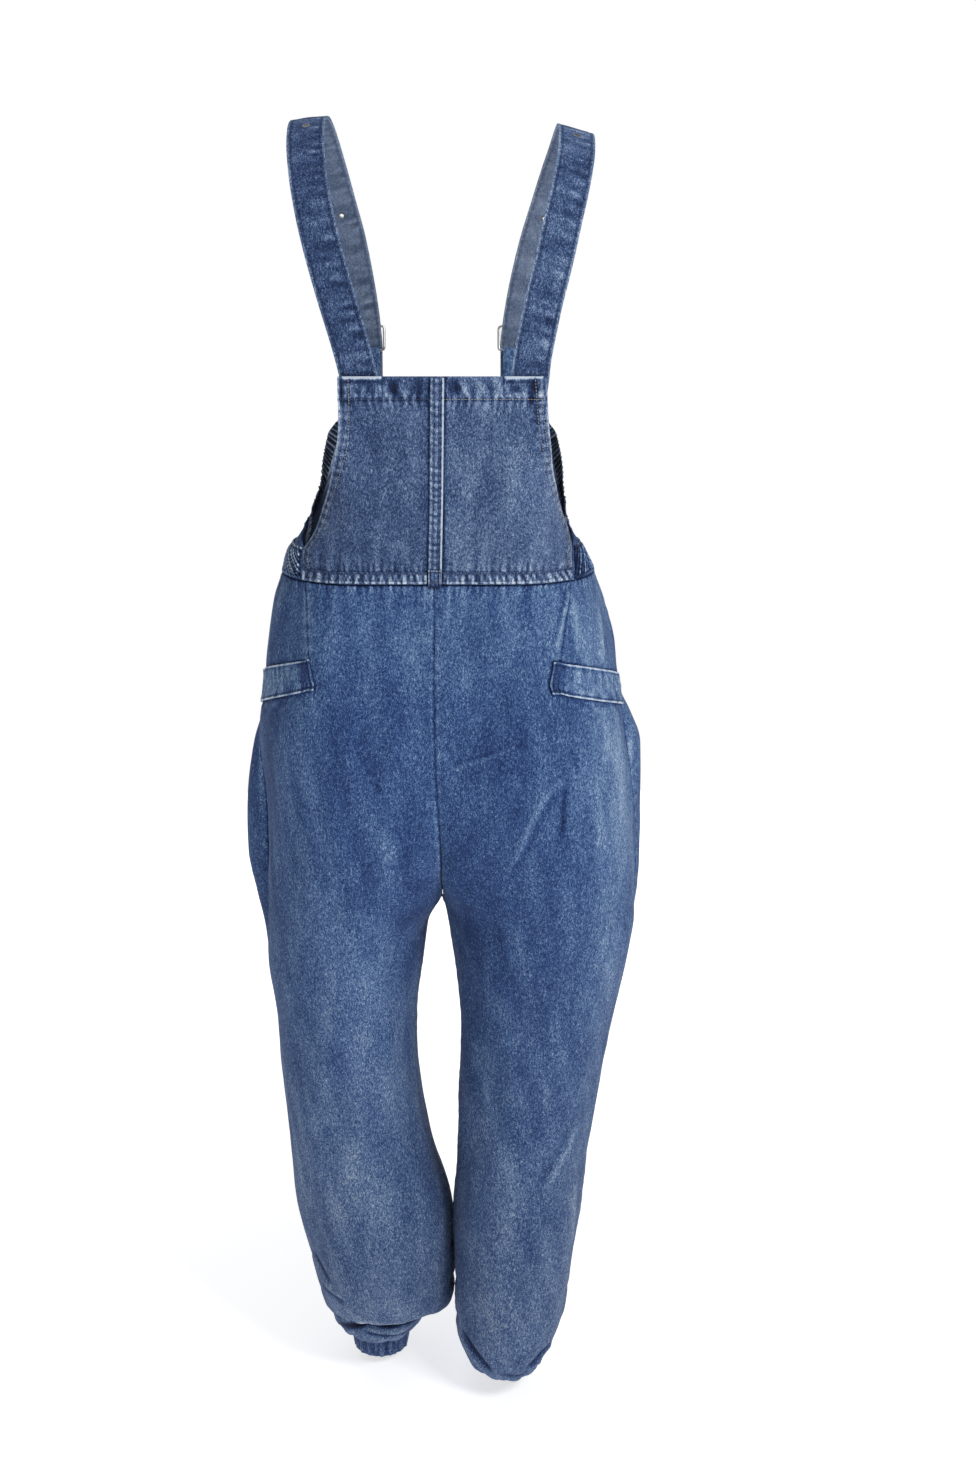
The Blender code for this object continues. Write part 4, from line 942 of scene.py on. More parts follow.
@dataclass
class Leg:
    """One leg with its half of the hips: back leg, front leg, side hip panel and pocket welt."""
    side: Side
    table: Sequence[Tuple[float, ...]]
    welt: Tuple[Tuple[float, float], ...]
    creases: Tuple[Crease, ...]
    fades: Tuple[Fade, ...]
    seed: int
    pitch: float = 3.3      # cell of the grid
    seam_dip: float = 0.9
    seam_width: float = 1.5
    stitch_row: float = 2.6     # from the centre back and centre front seam
    hip_row: float = 3.0        # from the hip seam
    stations: np.ndarray = field(default=None, repr=False)
    columns: np.ndarray = field(default=None, repr=False)

    def row(self, at: float, columns: np.ndarray) -> np.ndarray:
        """Points of one row; column 0 and 28 are the centre line or inseam, 14 the side seam."""
        found = hermite(range(len(self.table)), self.table, at)
        z, inner, rise_b, rise_f, turn, seam, seam_y, lobe, back, front, drop = found
        inner *= float(np.clip((at - CROTCH_ROW) * 5 + 1, 0, 1))
        sign = self.side.value
        middle = sign * by_height(CENTRE, z)
        edge = inner + middle * np.clip((CROTCH_ROW - at) / 2 + 0.5, 0, 1)
        turn = float(np.clip(turn, 0, 90))
        rear = back_curve(rise_b, turn, FLAT_SHARE, edge, back, seam, seam_y)
        face = front_curve(rise_f, turn, FLAT_SHARE, edge, front, seam, seam_y, lobe)
        wide, narrow = HIP_SEAMS[sign]
        sewn = float(np.interp(wide + (narrow - wide) * min(at / HIP_ROWS, 1), rear[:, 0], shares(rear)))
        blend = float(np.clip((HIP_ROWS + 3 - at) / 3, 0, 1))
        knot = blend * sewn + (1 - blend) * HIP / HALF
        on_back = np.interp(np.clip(columns, 0, HALF), (0, HIP, HALF), (0, knot, 1))
        plan = np.where((columns <= HALF)[:, None], along(rear, on_back),
                        along(face, np.clip(columns / HALF - 1, 0, 1)))
        if at < CROTCH_ROW:
            ramp = np.where(columns <= HALF, np.clip((columns - HIP) / (HALF - HIP), 0, 1),
                            2 - columns / HALF)
        else:
            ramp = np.clip((back - plan[:, 1]) / (back - seam_y), 0, 1)
        return np.stack((sign * plan[:, 0], plan[:, 1], z - drop * ramp), axis=1)

    def ground(self) -> Cloth:
        """The whole leg as one smooth fine grid, before it is cut into panels."""
        last = len(self.table) - 1
        seat_row = 6.0
        ring = self.row(seat_row, np.arange(2 * HALF + 1.0))
        gaps = np.linalg.norm(np.diff(ring, axis=0), axis=1)
        columns = []
        for first, second in ((0, HIP), (HIP, HALF), (HALF, 2 * HALF)):
            part = first + spread(gaps[first:second].sum(), self.pitch) * (second - first)
            columns.extend(part if not columns else part[1:])
        self.columns = np.array(columns)
        stations = []
        probes = np.array([4.0, HALF, 21.0])
        for first, second in ((0, HIP_ROWS), (HIP_ROWS, CROTCH_ROW), (CROTCH_ROW, last)):
            dense = np.linspace(first, second, 40 * (second - first) + 1)
            path = np.array([self.row(at, probes) for at in dense])
            length = np.linalg.norm(np.diff(path, axis=0), axis=2).max(axis=1)
            length = np.concatenate(([0.0], np.cumsum(length)))
            part = np.interp(spread(length[-1], self.pitch * 0.97) * length[-1], length, dense)
            stations.extend(part if not stations else part[1:])
        self.stations = np.array(stations)
        points = np.array([self.row(at, self.columns) for at in self.stations])
        cloth = Cloth(points, self.side.value)
        ring_rows = self.stations >= CROTCH_ROW - 1e-6
        joined = unit(cloth.normal[ring_rows, 0] + cloth.normal[ring_rows, -1])
        cloth.normal[ring_rows, 0] = joined
        cloth.normal[ring_rows, -1] = joined
        return cloth

    def dress(self, cloth: Cloth) -> None:
        """Lay seams, gathers, creases, worn tone and painted shade over the whole leg."""
        down = cloth.run(0)
        round_it = cloth.run(1)
        left = down[-1:] - down
        top = step(0, 30, down)
        cloth.height += (rumple(cloth.points, 70, 2.4, self.seed) * 1.9
                         + rumple(cloth.points, 26, 2.0, self.seed + 1) * 0.55) * top
        cloth.wear += rumple(cloth.points, 30, 3.0, self.seed + 2) * 0.05
        for mark in self.creases:
            cloth.crease(mark)
        for patch in self.fades:
            cloth.fade(patch)
        # gathers at the waist and above the cuff, short and long: height, reach, pitch, wear; their hollows
        # painted darker as shade, their tops worn paler
        for k, (away, height, reach, pitch, wear) in enumerate((
                (down, 1.1, 11, 6.5, 0.26), (down, 0.9, 32, 17, 0.09),
                (left, 2.2, 22, 11, 0.14), (left, 1.6, 50, 26, 0.05))):
            cloth.pucker(away, round_it, height, reach, pitch, self.seed + 3 + k, wear)
        side_line, hip_line = closest(self.columns, HALF), closest(self.columns, HIP)
        above = (self.stations <= HIP_ROWS + 1e-6)[:, None]
        clear = 1 - bell(self.stations - CROTCH_ROW + 0.8, 1.3)[:, None]
        # seams: painted shade darkens each seam's groove, and a worn paler ridge runs beside it
        for line, where, dip, wear in ((side_line, 1.0, 1.1, -0.26), (hip_line, above, 0.45, -0.16),
                                       (0, clear, 0.35, -0.14), (len(self.columns) - 1, clear, 0.5, -0.2)):
            away = abs(round_it - round_it[:, line:line + 1])
            cloth.groove(away, self.seam_dip * dip, self.seam_width * (0.7 + 0.3 * dip), wear, where)
            beside = np.broadcast_to(down[:, line:line + 1], down.shape)
            cloth.pucker(away, beside, 0.35, 7, 15, self.seed + 7 + line, wear=0.08, where=where)
            rim = abs(away - 2.9)
            cloth.groove(rim, -0.3, 1.1, wear=0.11 if self.side is Side.LEFT else 0.05, where=where)
        # a dark line along the leg's top edge: a painted shadow beneath the waist fell
        cloth.groove(down, self.seam_dip, self.seam_width, wear=-0.75)
        self.border(cloth, round_it)
        crotch = closest(self.stations, CROTCH_ROW)
        for line in (0, -1):
            far = np.linalg.norm(cloth.points - cloth.points[crotch, line], axis=2)
            cloth.height *= 1 - bell(far, 15)

    def at_point(self, cloth: Cloth, x: float, z: float) -> Tuple[float, float]:
        """Fractional grid place of the back's point at a distance from the centre and a height."""
        rear = closest(self.columns, HALF) + 1
        off = np.stack((abs(cloth.points[:, :rear, 0]) - x, cloth.points[:, :rear, 2] - z), axis=-1)
        far = np.linalg.norm(off, axis=2) + 1e3 * (cloth.normal[:, :rear, 1] < -0.1)
        i, j = np.unravel_index(np.argmin(far), far.shape)
        i, j = int(np.clip(i, 1, far.shape[0] - 2)), int(np.clip(j, 1, rear - 2))
        by_row = (off[i + 1, j] - off[i - 1, j]) / 2
        by_column = (off[i, j + 1] - off[i, j - 1]) / 2
        shift = np.linalg.solve(np.stack((by_row, by_column), axis=1), -off[i, j])
        return i + float(np.clip(shift[0], -2, 2)), j + float(np.clip(shift[1], -2, 2))

    def welt_places(self, cloth: Cloth, down: np.ndarray, out: np.ndarray) -> Tuple[np.ndarray, np.ndarray]:
        """Fractional rows and columns of the welt; down and out run from 0 to 1 over it."""
        top_in, top_out, low_out, low_in = (np.array(self.at_point(cloth, *corner)) for corner in self.welt)
        top_out[1] = low_out[1] = closest(self.columns, HALF) - 0.4
        rows, columns = ((top_in[k] + (low_in[k] - top_in[k]) * down) * (1 - out)
                         + (top_out[k] + (low_out[k] - top_out[k]) * down) * out for k in (0, 1))
        return rows, columns

    def border(self, cloth: Cloth, round_it: np.ndarray) -> None:
        """Press the leg in along the welt's outline, with a painted shadow along it, and gather it beneath
        and above.
        """
        even = np.linspace(0, 1, 90)
        z = cloth.points[..., 2]
        start, end = np.zeros(90), np.ones(90)
        for down, out, reach, wear, pull in (
                (start, even, 9, 0.10, 0.5), (end, even, 13, 0.17, 0.8), (even, start, 0, 0, 0)):
            line = sampled(cloth, *self.welt_places(cloth, down, out))[0]
            far = np.linalg.norm(cloth.points[:, :, None] - line, axis=3)
            nearest = far.argmin(axis=2)
            far = far.min(axis=2)
            # painted shadow along the welt's outline, where it sits on the leg
            cloth.groove(far, 0.5, 1.5, -0.42)
            if reach:
                beyond = (z < line[nearest, 2]) if down[0] else (z > line[nearest, 2])
                cloth.pucker(far, round_it, pull, reach, 5.5, self.seed + 30 + reach, wear,
                             where=beyond * step(0.5, 3.0, far))

    def make_welt(self, cloth: Cloth, shop: Workshop, seams: Stitching) -> None:
        """Lay the pocket welt over the hip seam and stitch its inner end."""
        deep, long, lift, wall = 36.0, 80.0, 0.7, 1.7
        down = spread(deep, 1.9, 0.6)[:, None]
        out = spread(long, 2.1, 0.6)[None, :]
        welt = laid_on(cloth, *self.welt_places(cloth, down, out), lift, wall)
        across = welt.beside(Edge.TOP)
        patchy = 0.8 + 0.4 * rumple(welt.points, 13, 1.0, self.seed + 19)
        for edge, wear in ((Edge.TOP, 0.60), (Edge.BOTTOM, 0.60), (Edge.FIRST, 0.18)):
            # painted shade in the stitching's groove; the folded edge just inside is worn pale
            welt.lines(edge, ((0, 0.35, 0.7, 0), (3.3, 0.4, 0.9, -0.34)))
            welt.groove(abs(welt.away(edge) - 1.0), -0.3, 0.9, wear, where=patchy)
        outer = step(8, 40, across)
        welt.pucker(abs(welt.away(Edge.TOP) - 3.1), across, 0.8, 15, 9, self.seed + 20, 0.22, where=outer)
        welt.pucker(abs(welt.away(Edge.BOTTOM) - 3.1), across, 0.7, 11, 6, self.seed + 21, 0.22)
        welt.wear += 0.13 * outer - 0.18 * bell(across - 9, 6)
        welt.height += rumple(welt.points, 16, 1.0, self.seed + 22) * 0.45
        item = bevelled(welt.make(f"vis_pocket_welt_{self.side.word}", shop.finishes["denim_mid"]), 0.4)
        for inset in (1.8, 6.5):
            seams.sew(*welt.course(Edge.FIRST, inset))
        seams.sew(*welt.course(Edge.BOTTOM, 3.2))
        shop.enter(item, f"pocket_welt_{self.side.word}")

    def make(self, shop: Workshop) -> None:
        """Build the leg's pieces and their stitching."""
        ground = self.ground()
        self.dress(ground)
        side_line, hip_line = closest(self.columns, HALF), closest(self.columns, HIP)
        hip_row, crotch = closest(self.stations, HIP_ROWS), closest(self.stations, CROTCH_ROW)
        word = self.side.word
        rows = slice(None)
        back = ground.part(rows, slice(0, side_line + 1))
        keep = np.ones((back.points.shape[0] - 1, back.points.shape[1] - 1), bool)
        keep[:hip_row, hip_line:] = False
        front = ground.part(rows, slice(side_line, None))
        hip = ground.part(slice(0, hip_row + 1), slice(hip_line, side_line + 1))
        seams = shop.stitching(f"vis_leg_stitches_{word}", long=2.3, pitch=3.2, radius=0.3)
        blue = shop.finishes["denim_mid"]
        back_item = back.make(f"vis_back_leg_{word}", blue, keep)
        front_item = front.make(f"vis_front_leg_{word}", blue)
        hip_item = hip.make(f"vis_hip_side_{word}", blue)
        self.make_welt(ground, shop, seams)
        inner = ground.part(slice(0, hip_row + 1), slice(0, hip_line + 1))
        seams.sew(*inner.course(Edge.LAST, self.hip_row))
        if self.side is Side.RIGHT:
            seams.sew(*back.part(slice(0, crotch), rows).course(Edge.FIRST, self.stitch_row))
            seams.sew(*front.part(slice(0, crotch), rows).course(Edge.LAST, self.stitch_row))
        shop.enter(back_item, f"back_leg_{word}",
                   [seams.make()])
        shop.enter(front_item, f"front_leg_{word}")
        shop.enter(hip_item, f"hip_side_{word}")


# ---------------------------------------------------------------- back bib

@dataclass
class BackBib:
    """Back bib in two halves, the felled strip down its centre, its tab and the felled waist seam."""
    pitch: float = 2.3      # cell of the grid
    side_rows: Tuple[float, float] = (5.0, 11.0)        # stitching from the side edge
    strip_rows: Tuple[float, float] = (4.4, 9.9)        # from the strip's first edge
    fell_rows: Tuple[float, float] = (2.2, 9.3)         # from the fell's top edge
    tab_rows: Tuple[float, ...] = (2.4, 3.6, 13.0, 14.0)
    # where the straps' ends lie beneath the hem, nearest and farthest from the centre, left and right
    strap_spots: Tuple[Tuple[float, float], ...] = ((53.5, 91.5), (72.0, 109.0))
    # gathers of the top hem: darker in their hollows as painted shade, paler on their worn tops
    patches: Tuple[Fade, ...] = marks(Fade, View.BACK, (
        ((66, -256), (4, 9), -0.30, 0.1, -0.5),
        ((58.5, -258), (1.8, 10), 0.27, 0.15, 0.5),
        ((42, -256), (4.5, 10), -0.41, 0.35, -0.7),
        ((33, -258), (2.2, 9), 0.16, 0.35, 0.4),
        ((14, -257), (4.5, 10), -0.22, 0, -0.4),
        ((-24, -255), (5.5, 9), -0.49, 0.25, -0.8),
        ((-31.5, -260), (1.5, 9), 0.46, 0.55, 0.7),
        ((-40, -253), (5, 6), 0.11, 0.3, 0.3),
        ((-84, -257), (4.5, 3.5), -0.30, 0, -0.4),
        ((-99, -259), (2.8, 12), -0.41, 0, -0.6),
        ((-102, -280), (2.8, 12), -0.22, 0, -0.4),
    ))
    halves: Dict[Side, Cloth] = field(default_factory=dict, repr=False)

    def half(self, side: Side) -> Cloth:
        """One half of the bib with its relief."""
        heights = BIB_TOP + (WAIST - BIB_TOP) * spread(BIB_TOP - WAIST, self.pitch)
        table = BIB_EDGE_L if side is Side.LEFT else BIB_EDGE_R
        share = spread(118.0, self.pitch)
        points = []
        for z in heights:
            middle = by_height(CENTRE, z)
            edge = side.value * by_height(table, z)
            points.append(back_points(middle + (edge - middle) * share, z))
        cloth = Cloth(np.array(points), side.value)
        seed = 100 if side is Side.LEFT else 140
        top, low = cloth.away(Edge.TOP), cloth.away(Edge.BOTTOM)
        inner, outer = cloth.away(Edge.FIRST), cloth.away(Edge.LAST)
        beside, down = cloth.beside(Edge.TOP), cloth.beside(Edge.FIRST)
        clear = step(8, 16, inner)
        cloth.height += rumple(cloth.points, 46, 1.6, seed) * 0.9 * step(4, 30, top) * clear
        cloth.height += rumple(cloth.points, 19, 1.4, seed + 1) * 0.28 * clear
        cloth.wear += rumple(cloth.points, 26, 2.0, seed + 2) * 0.05 - (0.03 if side is Side.LEFT else -0.03)
        # painted shade in the hem stitching's groove; a worn paler ridge above it and along the top fold
        cloth.lines(Edge.TOP, ((BIB_HEM, 0.7, 1.1, -0.38), (BIB_HEM - 2.6, -0.3, 1.2, 0.08),
                               (0, 0.3, 0.9, 0.05)))
        cloth.pucker(abs(top - BIB_HEM), beside, 0.9, 9, 7.5, seed + 3, 0.30, slant=0.25)
        cloth.pucker(abs(top - 12), beside, 0.8, 11, 17.0, seed + 8, 0.26, slant=0.5)
        # side edge worn paler; painted shade in the grooves of its two stitch rows
        cloth.lines(Edge.LAST, ((0.9, -0.1, 0.9, 0.30),
                                *((inset, 0.4, 0.9, -0.30) for inset in self.side_rows)))
        cloth.pucker(abs(outer - 8.0), down, 0.6, 7, 9, seed + 4, 0.22, slant=0.2)
        cloth.wear += 0.07 * (1 - step(11, 13, outer))
        # a painted shadow beside the centre strip's raised edge, deeper on the right half
        cloth.groove(abs(inner - STRIP_HALF - 0.8), 0.35, 1.2, -0.50 if side is Side.RIGHT else -0.20)
        past = abs(low - FELL)
        cloth.pucker(past, beside, 1.1, 11, 6.0, seed + 5, 0.30, where=clear)
        cloth.pucker(past, beside, 0.9, 30, 17, seed + 6, 0.09, where=clear)
        # a darker line along the fell's top edge, painted shade
        cloth.groove(past, 0.4, 1.3, -0.30)
        for patch in self.patches:
            cloth.fade(patch)
        # straps' ends bulging beneath the hem: the fold over them worn pale; darker lines just outside them
        # and under the fold are painted shade
        near, far = self.strap_spots[0 if side is Side.LEFT else 1]
        x = abs(cloth.points[..., 0])
        between = step(near - 1.5, near + 0.5, x) * (1 - step(far - 0.5, far + 1.5, x))
        over = between * (1 - step(18.5, 21.0, top))
        cloth.height += 0.9 * over
        hem_only = 1 - step(18, 21, top)
        rim = (bell(x - near - 1, 1.5) + bell(x - far + 1, 1.5)) * hem_only
        outside = (bell(x - near + 2, 1.6) + bell(x - far - 2, 1.6)) * hem_only
        cloth.wear += 0.20 * rim - 0.26 * outside + 0.75 * over * bell(top, 1.7)
        cloth.wear += 0.14 * over * bell(top - 17.5, 1.5) - 0.26 * over * bell(top - 4.2, 1.6)
        cloth.height += rumple(cloth.points, 11, 0.8, seed + 7) * 0.3 * over
        self.halves[side] = cloth
        return cloth

    def make_strip(self, shop: Workshop, seams: Stitching) -> None:
        """The felled strip down the centre back."""
        heights = BIB_TOP - 0.4 + (WAIST - BIB_TOP + 0.6) * spread(BIB_TOP - WAIST, 2.0)
        across = np.linspace(-STRIP_HALF, STRIP_HALF, 13)
        points = []
        for z in heights:
            xs = by_height(CENTRE, z) + across
            points.append(np.stack((xs, back_depths(xs, z), np.full(len(xs), z)), axis=1))
        strip = Cloth(np.array(points)).lifted(STRIP_OUT, TRIM)
        # the first edge worn pale; painted shade in a line just inside it, in the stitching's grooves, and
        # along the last edge's very rim
        strip.lines(Edge.FIRST, ((0.7, -0.5, 0.85, 0.80), (2.2, 0.2, 0.7, -0.30),
                                 *((inset, 0.4, 0.8, -0.34) for inset in self.strip_rows)))
        strip.lines(Edge.LAST, ((1.6, -0.2, 0.7, 0.25), (0, 0.5, 1.0, -0.4)))
        strip.pucker(abs(strip.away(Edge.FIRST) - 7.0), strip.beside(Edge.FIRST), 0.45, 9, 7.0, 181, 0.24,
                     slant=0.35)
        strip.pucker(strip.away(Edge.BOTTOM), strip.beside(Edge.TOP), 0.3, 14, 6, 182, 0.1)
        strip.wear += 0.10
        item = bevelled(strip.make("vis_centre_back_strip", shop.finishes["denim_light"]), 0.35)
        for inset in self.strip_rows:
            seams.sew(*strip.course(Edge.FIRST, inset, 0.0, 0.93))
        shop.enter(item, "centre_back_strip")

    def make_tab(self, shop: Workshop) -> None:
        """The small bartacked tab over the centre of the waist seam."""
        heights = np.linspace(WAIST + 14.5, WAIST - 3.0, 12)
        middle = by_height(CENTRE, WAIST)
        across = np.linspace(-STRIP_HALF, STRIP_HALF, 11)
        points = []
        for z in heights:
            ys = back_depths(middle + across, max(z, WAIST)) + 0.6 * (z < WAIST)
            points.append(np.stack((middle + across, ys, np.full(len(across), z)), axis=1))
        tab = Cloth(np.array(points)).lifted(TAB_OUT, TRIM)
        # round each edge: a painted shadow along the outline, a worn pale line inside it, and painted shade
        # in the stitching's groove
        for edge in Edge:
            tab.lines(edge, ((0, 0.6, 0.7, -0.55), (1.4, -0.2, 0.6, 0.45), (2.8, 0.2, 0.9, -0.34)))
        tab.height += rumple(tab.points, 7, 1.0, 191) * 0.3
        tab.pucker(abs(tab.away(Edge.TOP) - 3.0), tab.beside(Edge.TOP), 0.3, 4, 4.5, 192, 0.15)
        item = bevelled(tab.make("vis_back_tab", shop.finishes["denim_light"]), 0.4)
        tacks = shop.stitching("vis_tab_stitches", long=2.2, pitch=1.3, radius=0.32)
        for inset in self.tab_rows:
            tab.groove(abs(tab.away(Edge.TOP) - inset), 0.15, 0.9)     # sinks the row and those after it
            tacks.sew(*tab.course(Edge.TOP, inset, 0.12, 0.88))
        shop.enter(item, "back_tab",
                   [tacks.make()])

    def make_fell(self, side: Side, shop: Workshop, seams: Stitching) -> None:
        """The felled seam that runs above the waist on one half."""
        cloth = self.halves[side]
        heights = -cloth.points[:, 0, 2]
        rows = np.interp(np.linspace(-WAIST - FELL, -WAIST - 0.3, 9), heights, np.arange(len(heights)))
        widths = cloth.run(1)[-1]
        places = np.linspace(STRIP_HALF + 0.9, widths[-1] - 1.0, round(widths[-1] / 1.9))
        columns = np.interp(places, widths, np.arange(len(widths)))
        lift, wall = 0.35, 1.1
        fell = laid_on(cloth, np.repeat(rows[:, None], len(columns), axis=1),
                       np.repeat(columns[None], len(rows), axis=0), lift, wall)
        seed = 160 if side is Side.LEFT else 170
        top = fell.away(Edge.TOP)
        run = fell.beside(Edge.TOP)
        # puckers: hollows painted darker as shade, tops worn paler; painted shade in the stitching's groove,
        # and the folded lower edge worn pale
        wave = (0.75 * ruffle(run + 0.3 * top * side.value, 8.6, seed)
                + 0.5 * ruffle(run - 0.15 * top * side.value, 4.4, seed + 5))
        body = step(1.0, 4.0, top)
        fell.height += 0.6 * (wave + 0.7) * (0.3 + 0.7 * body)
        fell.wear += 0.52 * wave * body + 0.02
        fell.groove(abs(top - 2.2), 0.4, 0.7, -0.36)
        fell.groove(abs(fell.away(Edge.BOTTOM) - 0.9), -0.35, 0.75, 0.52)
        item = bevelled(fell.make(f"vis_waist_fell_{side.word}", shop.finishes["denim_light"]), 0.3)
        for inset in self.fell_rows:
            seams.sew(*fell.course(Edge.TOP, inset))
        shop.enter(item, f"waist_fell_{side.word}")

    def make(self, shop: Workshop) -> None:
        """Build both halves and what is laid on them."""
        pale = shop.stitching("vis_bib_stitches_pale", pale=True)
        seams = shop.stitching("vis_bib_stitches")
        middle = shop.stitching("vis_centre_stitches")
        waist = shop.stitching("vis_waist_stitches", long=2.2, pitch=3.0)
        items = {}
        outer_row, inner_row = self.side_rows
        for side, own in ((Side.LEFT, seams), (Side.RIGHT, pale)):
            cloth = self.half(side)
            hemmed = cloth.turned(BIB_HEM).make(f"vis_back_bib_{side.word}", shop.finishes["denim_light"])
            items[side] = bevelled(hemmed, 0.3)
            own.sew(*cloth.course(Edge.TOP, BIB_HEM, 0.06, 0.97))
            own.sew(*cloth.course(Edge.LAST, outer_row, 0.02, 0.94))
            pale.sew(*cloth.course(Edge.LAST, inner_row, 0.02, 0.94))
        self.make_strip(shop, middle)
        for side in Side:
            self.make_fell(side, shop, waist)
        self.make_tab(shop)
        for side, thread in ((Side.LEFT, seams), (Side.RIGHT, pale)):
            node = f"back_bib_{side.word}"
            shop.enter(items[side], node,
                       [thread.make()])
        for thread in (middle, waist):
            piece = thread.make()
            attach(piece, "root")


# ---------------------------------------------------------------- front bib

@dataclass
class FrontBib:
    """Front bib, wrapped round to the back bib's corners, with its ruched edges and side bands."""
    pitch: float = 2.8          # cell of the grid
    gathers: int = 34           # folds of an elastic edge
    edge_width: float = 13.0
    edge_tuck: float = 4.4      # how far an elastic edge passes under the back bib's corner
    blur: int = 60              # points each way over which that edge's direction is smoothed
    band_rows: Tuple[float, float] = (3.4, 8.6)     # stitching from the band's top edge

    @staticmethod
    def edge_station(z: float, side: Side) -> float:
        """Station of the bib's side edge at a height, smoothed where it turns."""
        table = BIB_EDGE_L if side is Side.LEFT else BIB_EDGE_R
        found = []
        for share in np.linspace(-1, 1, 9):
            at = z + share * min(26.0, max(0.0, z - SIDE_TOP))
            curve = torso_curves(at, side.value)[0]
            low = float(np.interp(by_height(table, min(at, SIDE_TOP)), curve[:, 0], shares(curve))) + 0.005
            turn = low + 0.09 * min(1.0, max(0.0, at - SIDE_TOP) / 11.0)
            found.append(low if at <= SIDE_TOP else max(by_height(FRONT_EDGE, at), turn))
        return float(np.mean(found))

    def make_bib(self, shop: Workshop) -> None:
        """The front bib with its turned top hem."""
        upper = FRONT_TOP + (SIDE_TOP - FRONT_TOP) * spread(FRONT_TOP - SIDE_TOP, self.pitch)
        lower = SIDE_TOP + (WAIST - SIDE_TOP) * spread(SIDE_TOP - WAIST, self.pitch)
        points = []
        share = spread(230.0, self.pitch)
        for z in (*upper, *lower[1:]):
            sides = []
            for side in Side:
                start = self.edge_station(z, side)
                sides.append(round_points(start + (2 - start) * share, z, side.value))
            points.append(np.concatenate((sides[0], sides[1][::-1][1:])))
        cloth = Cloth(np.array(points), 1.0)
        top, low = cloth.away(Edge.TOP), cloth.away(Edge.BOTTOM)
        cloth.height += rumple(cloth.points, 60, 1.6, 201) * 1.1 * step(4, 30, top) * step(2, 30, low)
        cloth.height += rumple(cloth.points, 22, 1.4, 202) * 0.3
        cloth.wear += rumple(cloth.points, 30, 2.0, 203) * 0.05
        # darker is painted shade in the hem's groove and in the hollows of gathers and bunching; paler is
        # worn, on their tops and on the top fold
        cloth.lines(Edge.TOP, ((BIB_HEM, 0.5, 1.3, -0.10), (0, 0.3, 0.9, 0.22)))
        cloth.pucker(abs(top - BIB_HEM), cloth.beside(Edge.TOP), 0.38, 8, 9, 204, 0.10)
        for edge in (Edge.FIRST, Edge.LAST):
            height = cloth.points[..., 2]
            cloth.pucker(cloth.away(edge), cloth.beside(edge), 1.2, 14, 4.4, 205, 0.34,
                         where=step(-418, -402, height))
            bunched = np.exp(-(cloth.away(edge) / 26)**2 - ((height + 396) / 26)**2)
            wave = bunched * ruffle(cloth.away(edge) + 0.8 * height, 7.0, 207)
            cloth.height += 1.4 * wave
            cloth.wear += 0.30 * (wave - bunched)
        cloth.pucker(low, cloth.beside(Edge.TOP), 0.7, 16, 8, 206, 0.12)
        item = bevelled(cloth.turned(BIB_HEM).make("vis_front_bib", shop.finishes["denim_mid"]), 0.3)
        seams = shop.stitching("vis_front_stitches")
        seams.sew(*cloth.course(Edge.TOP, BIB_HEM))
        seams.sew(*cloth.course(Edge.BOTTOM, 3.0, 0.2, 0.8))
        shop.enter(item, "front_bib",
                   [seams.make()])

    def make_edge(self, side: Side, shop: Workshop) -> None:
        """One ruched elastic edge between the hem and the side band."""
        heights = np.linspace(FRONT_TOP - BIB_HEM, SIDE_TOP, 90)
        outline, inside = [], []
        for z in heights:
            start = self.edge_station(z, side)
            pair = round_points(np.array([start, start + 0.08]), z, side.value)
            outline.append(pair[0])
            inside.append(pair[1])
        even = np.linspace(0.06, 0.975, 8 * self.gathers + 1)
        outline = np.array(outline)
        line = along(outline, even)
        tangent = unit(np.gradient(line, axis=0))
        way = line - read(even, shares(outline), np.array(inside))
        blur = bell(np.arange(-self.blur, self.blur + 1), 28.0)
        way = np.stack([np.convolve(np.pad(column, self.blur, "edge"), blur, "valid") for column in way.T],
                       axis=1)
        way = unit(way - tangent * np.sum(way * tangent, axis=1, keepdims=True))
        facing = np.cross(way, tangent) * -side.value
        tuck = self.edge_tuck * np.clip((-line[:, 2] - 392.0) / 16.0, 0, 1)
        across = np.linspace(0.3, self.edge_width, 10)
        run = lengths(line)
        taper = 0.16 + 0.84 * step(-4, 40, run) * step(0, 12, run[-1] - run)
        points = (line[:, None] + way[:, None] * (across * taper[:, None])[..., None]
                  - facing[:, None] * tuck[:, None, None])
        normal = np.repeat(facing[:, None], len(across), axis=1)
        strip = Cloth(points, side.value, ELASTIC, reverse="", normal=normal)
        wave = ruffle(np.arange(len(even)) / 8 * 4.3, 4.3, 210 + side.value)[:, None]
        amount = np.interp(across, (0.0, 5.0, 9.0, 13.0), (0.35, 1.25, 1.35, 0.9))[None] * taper[:, None]
        strip.height += wave * amount
        # ruching: hollows painted darker as shade, tops paler
        strip.wear += 0.80 * wave
        strip.groove(abs(strip.away(Edge.FIRST) - 6.5), 0.4, 1.0, -0.08)
        item = strip.make(f"vis_elastic_edge_{side.word}", shop.finishes["denim_elastic"])
        shop.enter(item, f"elastic_edge_{side.word}")

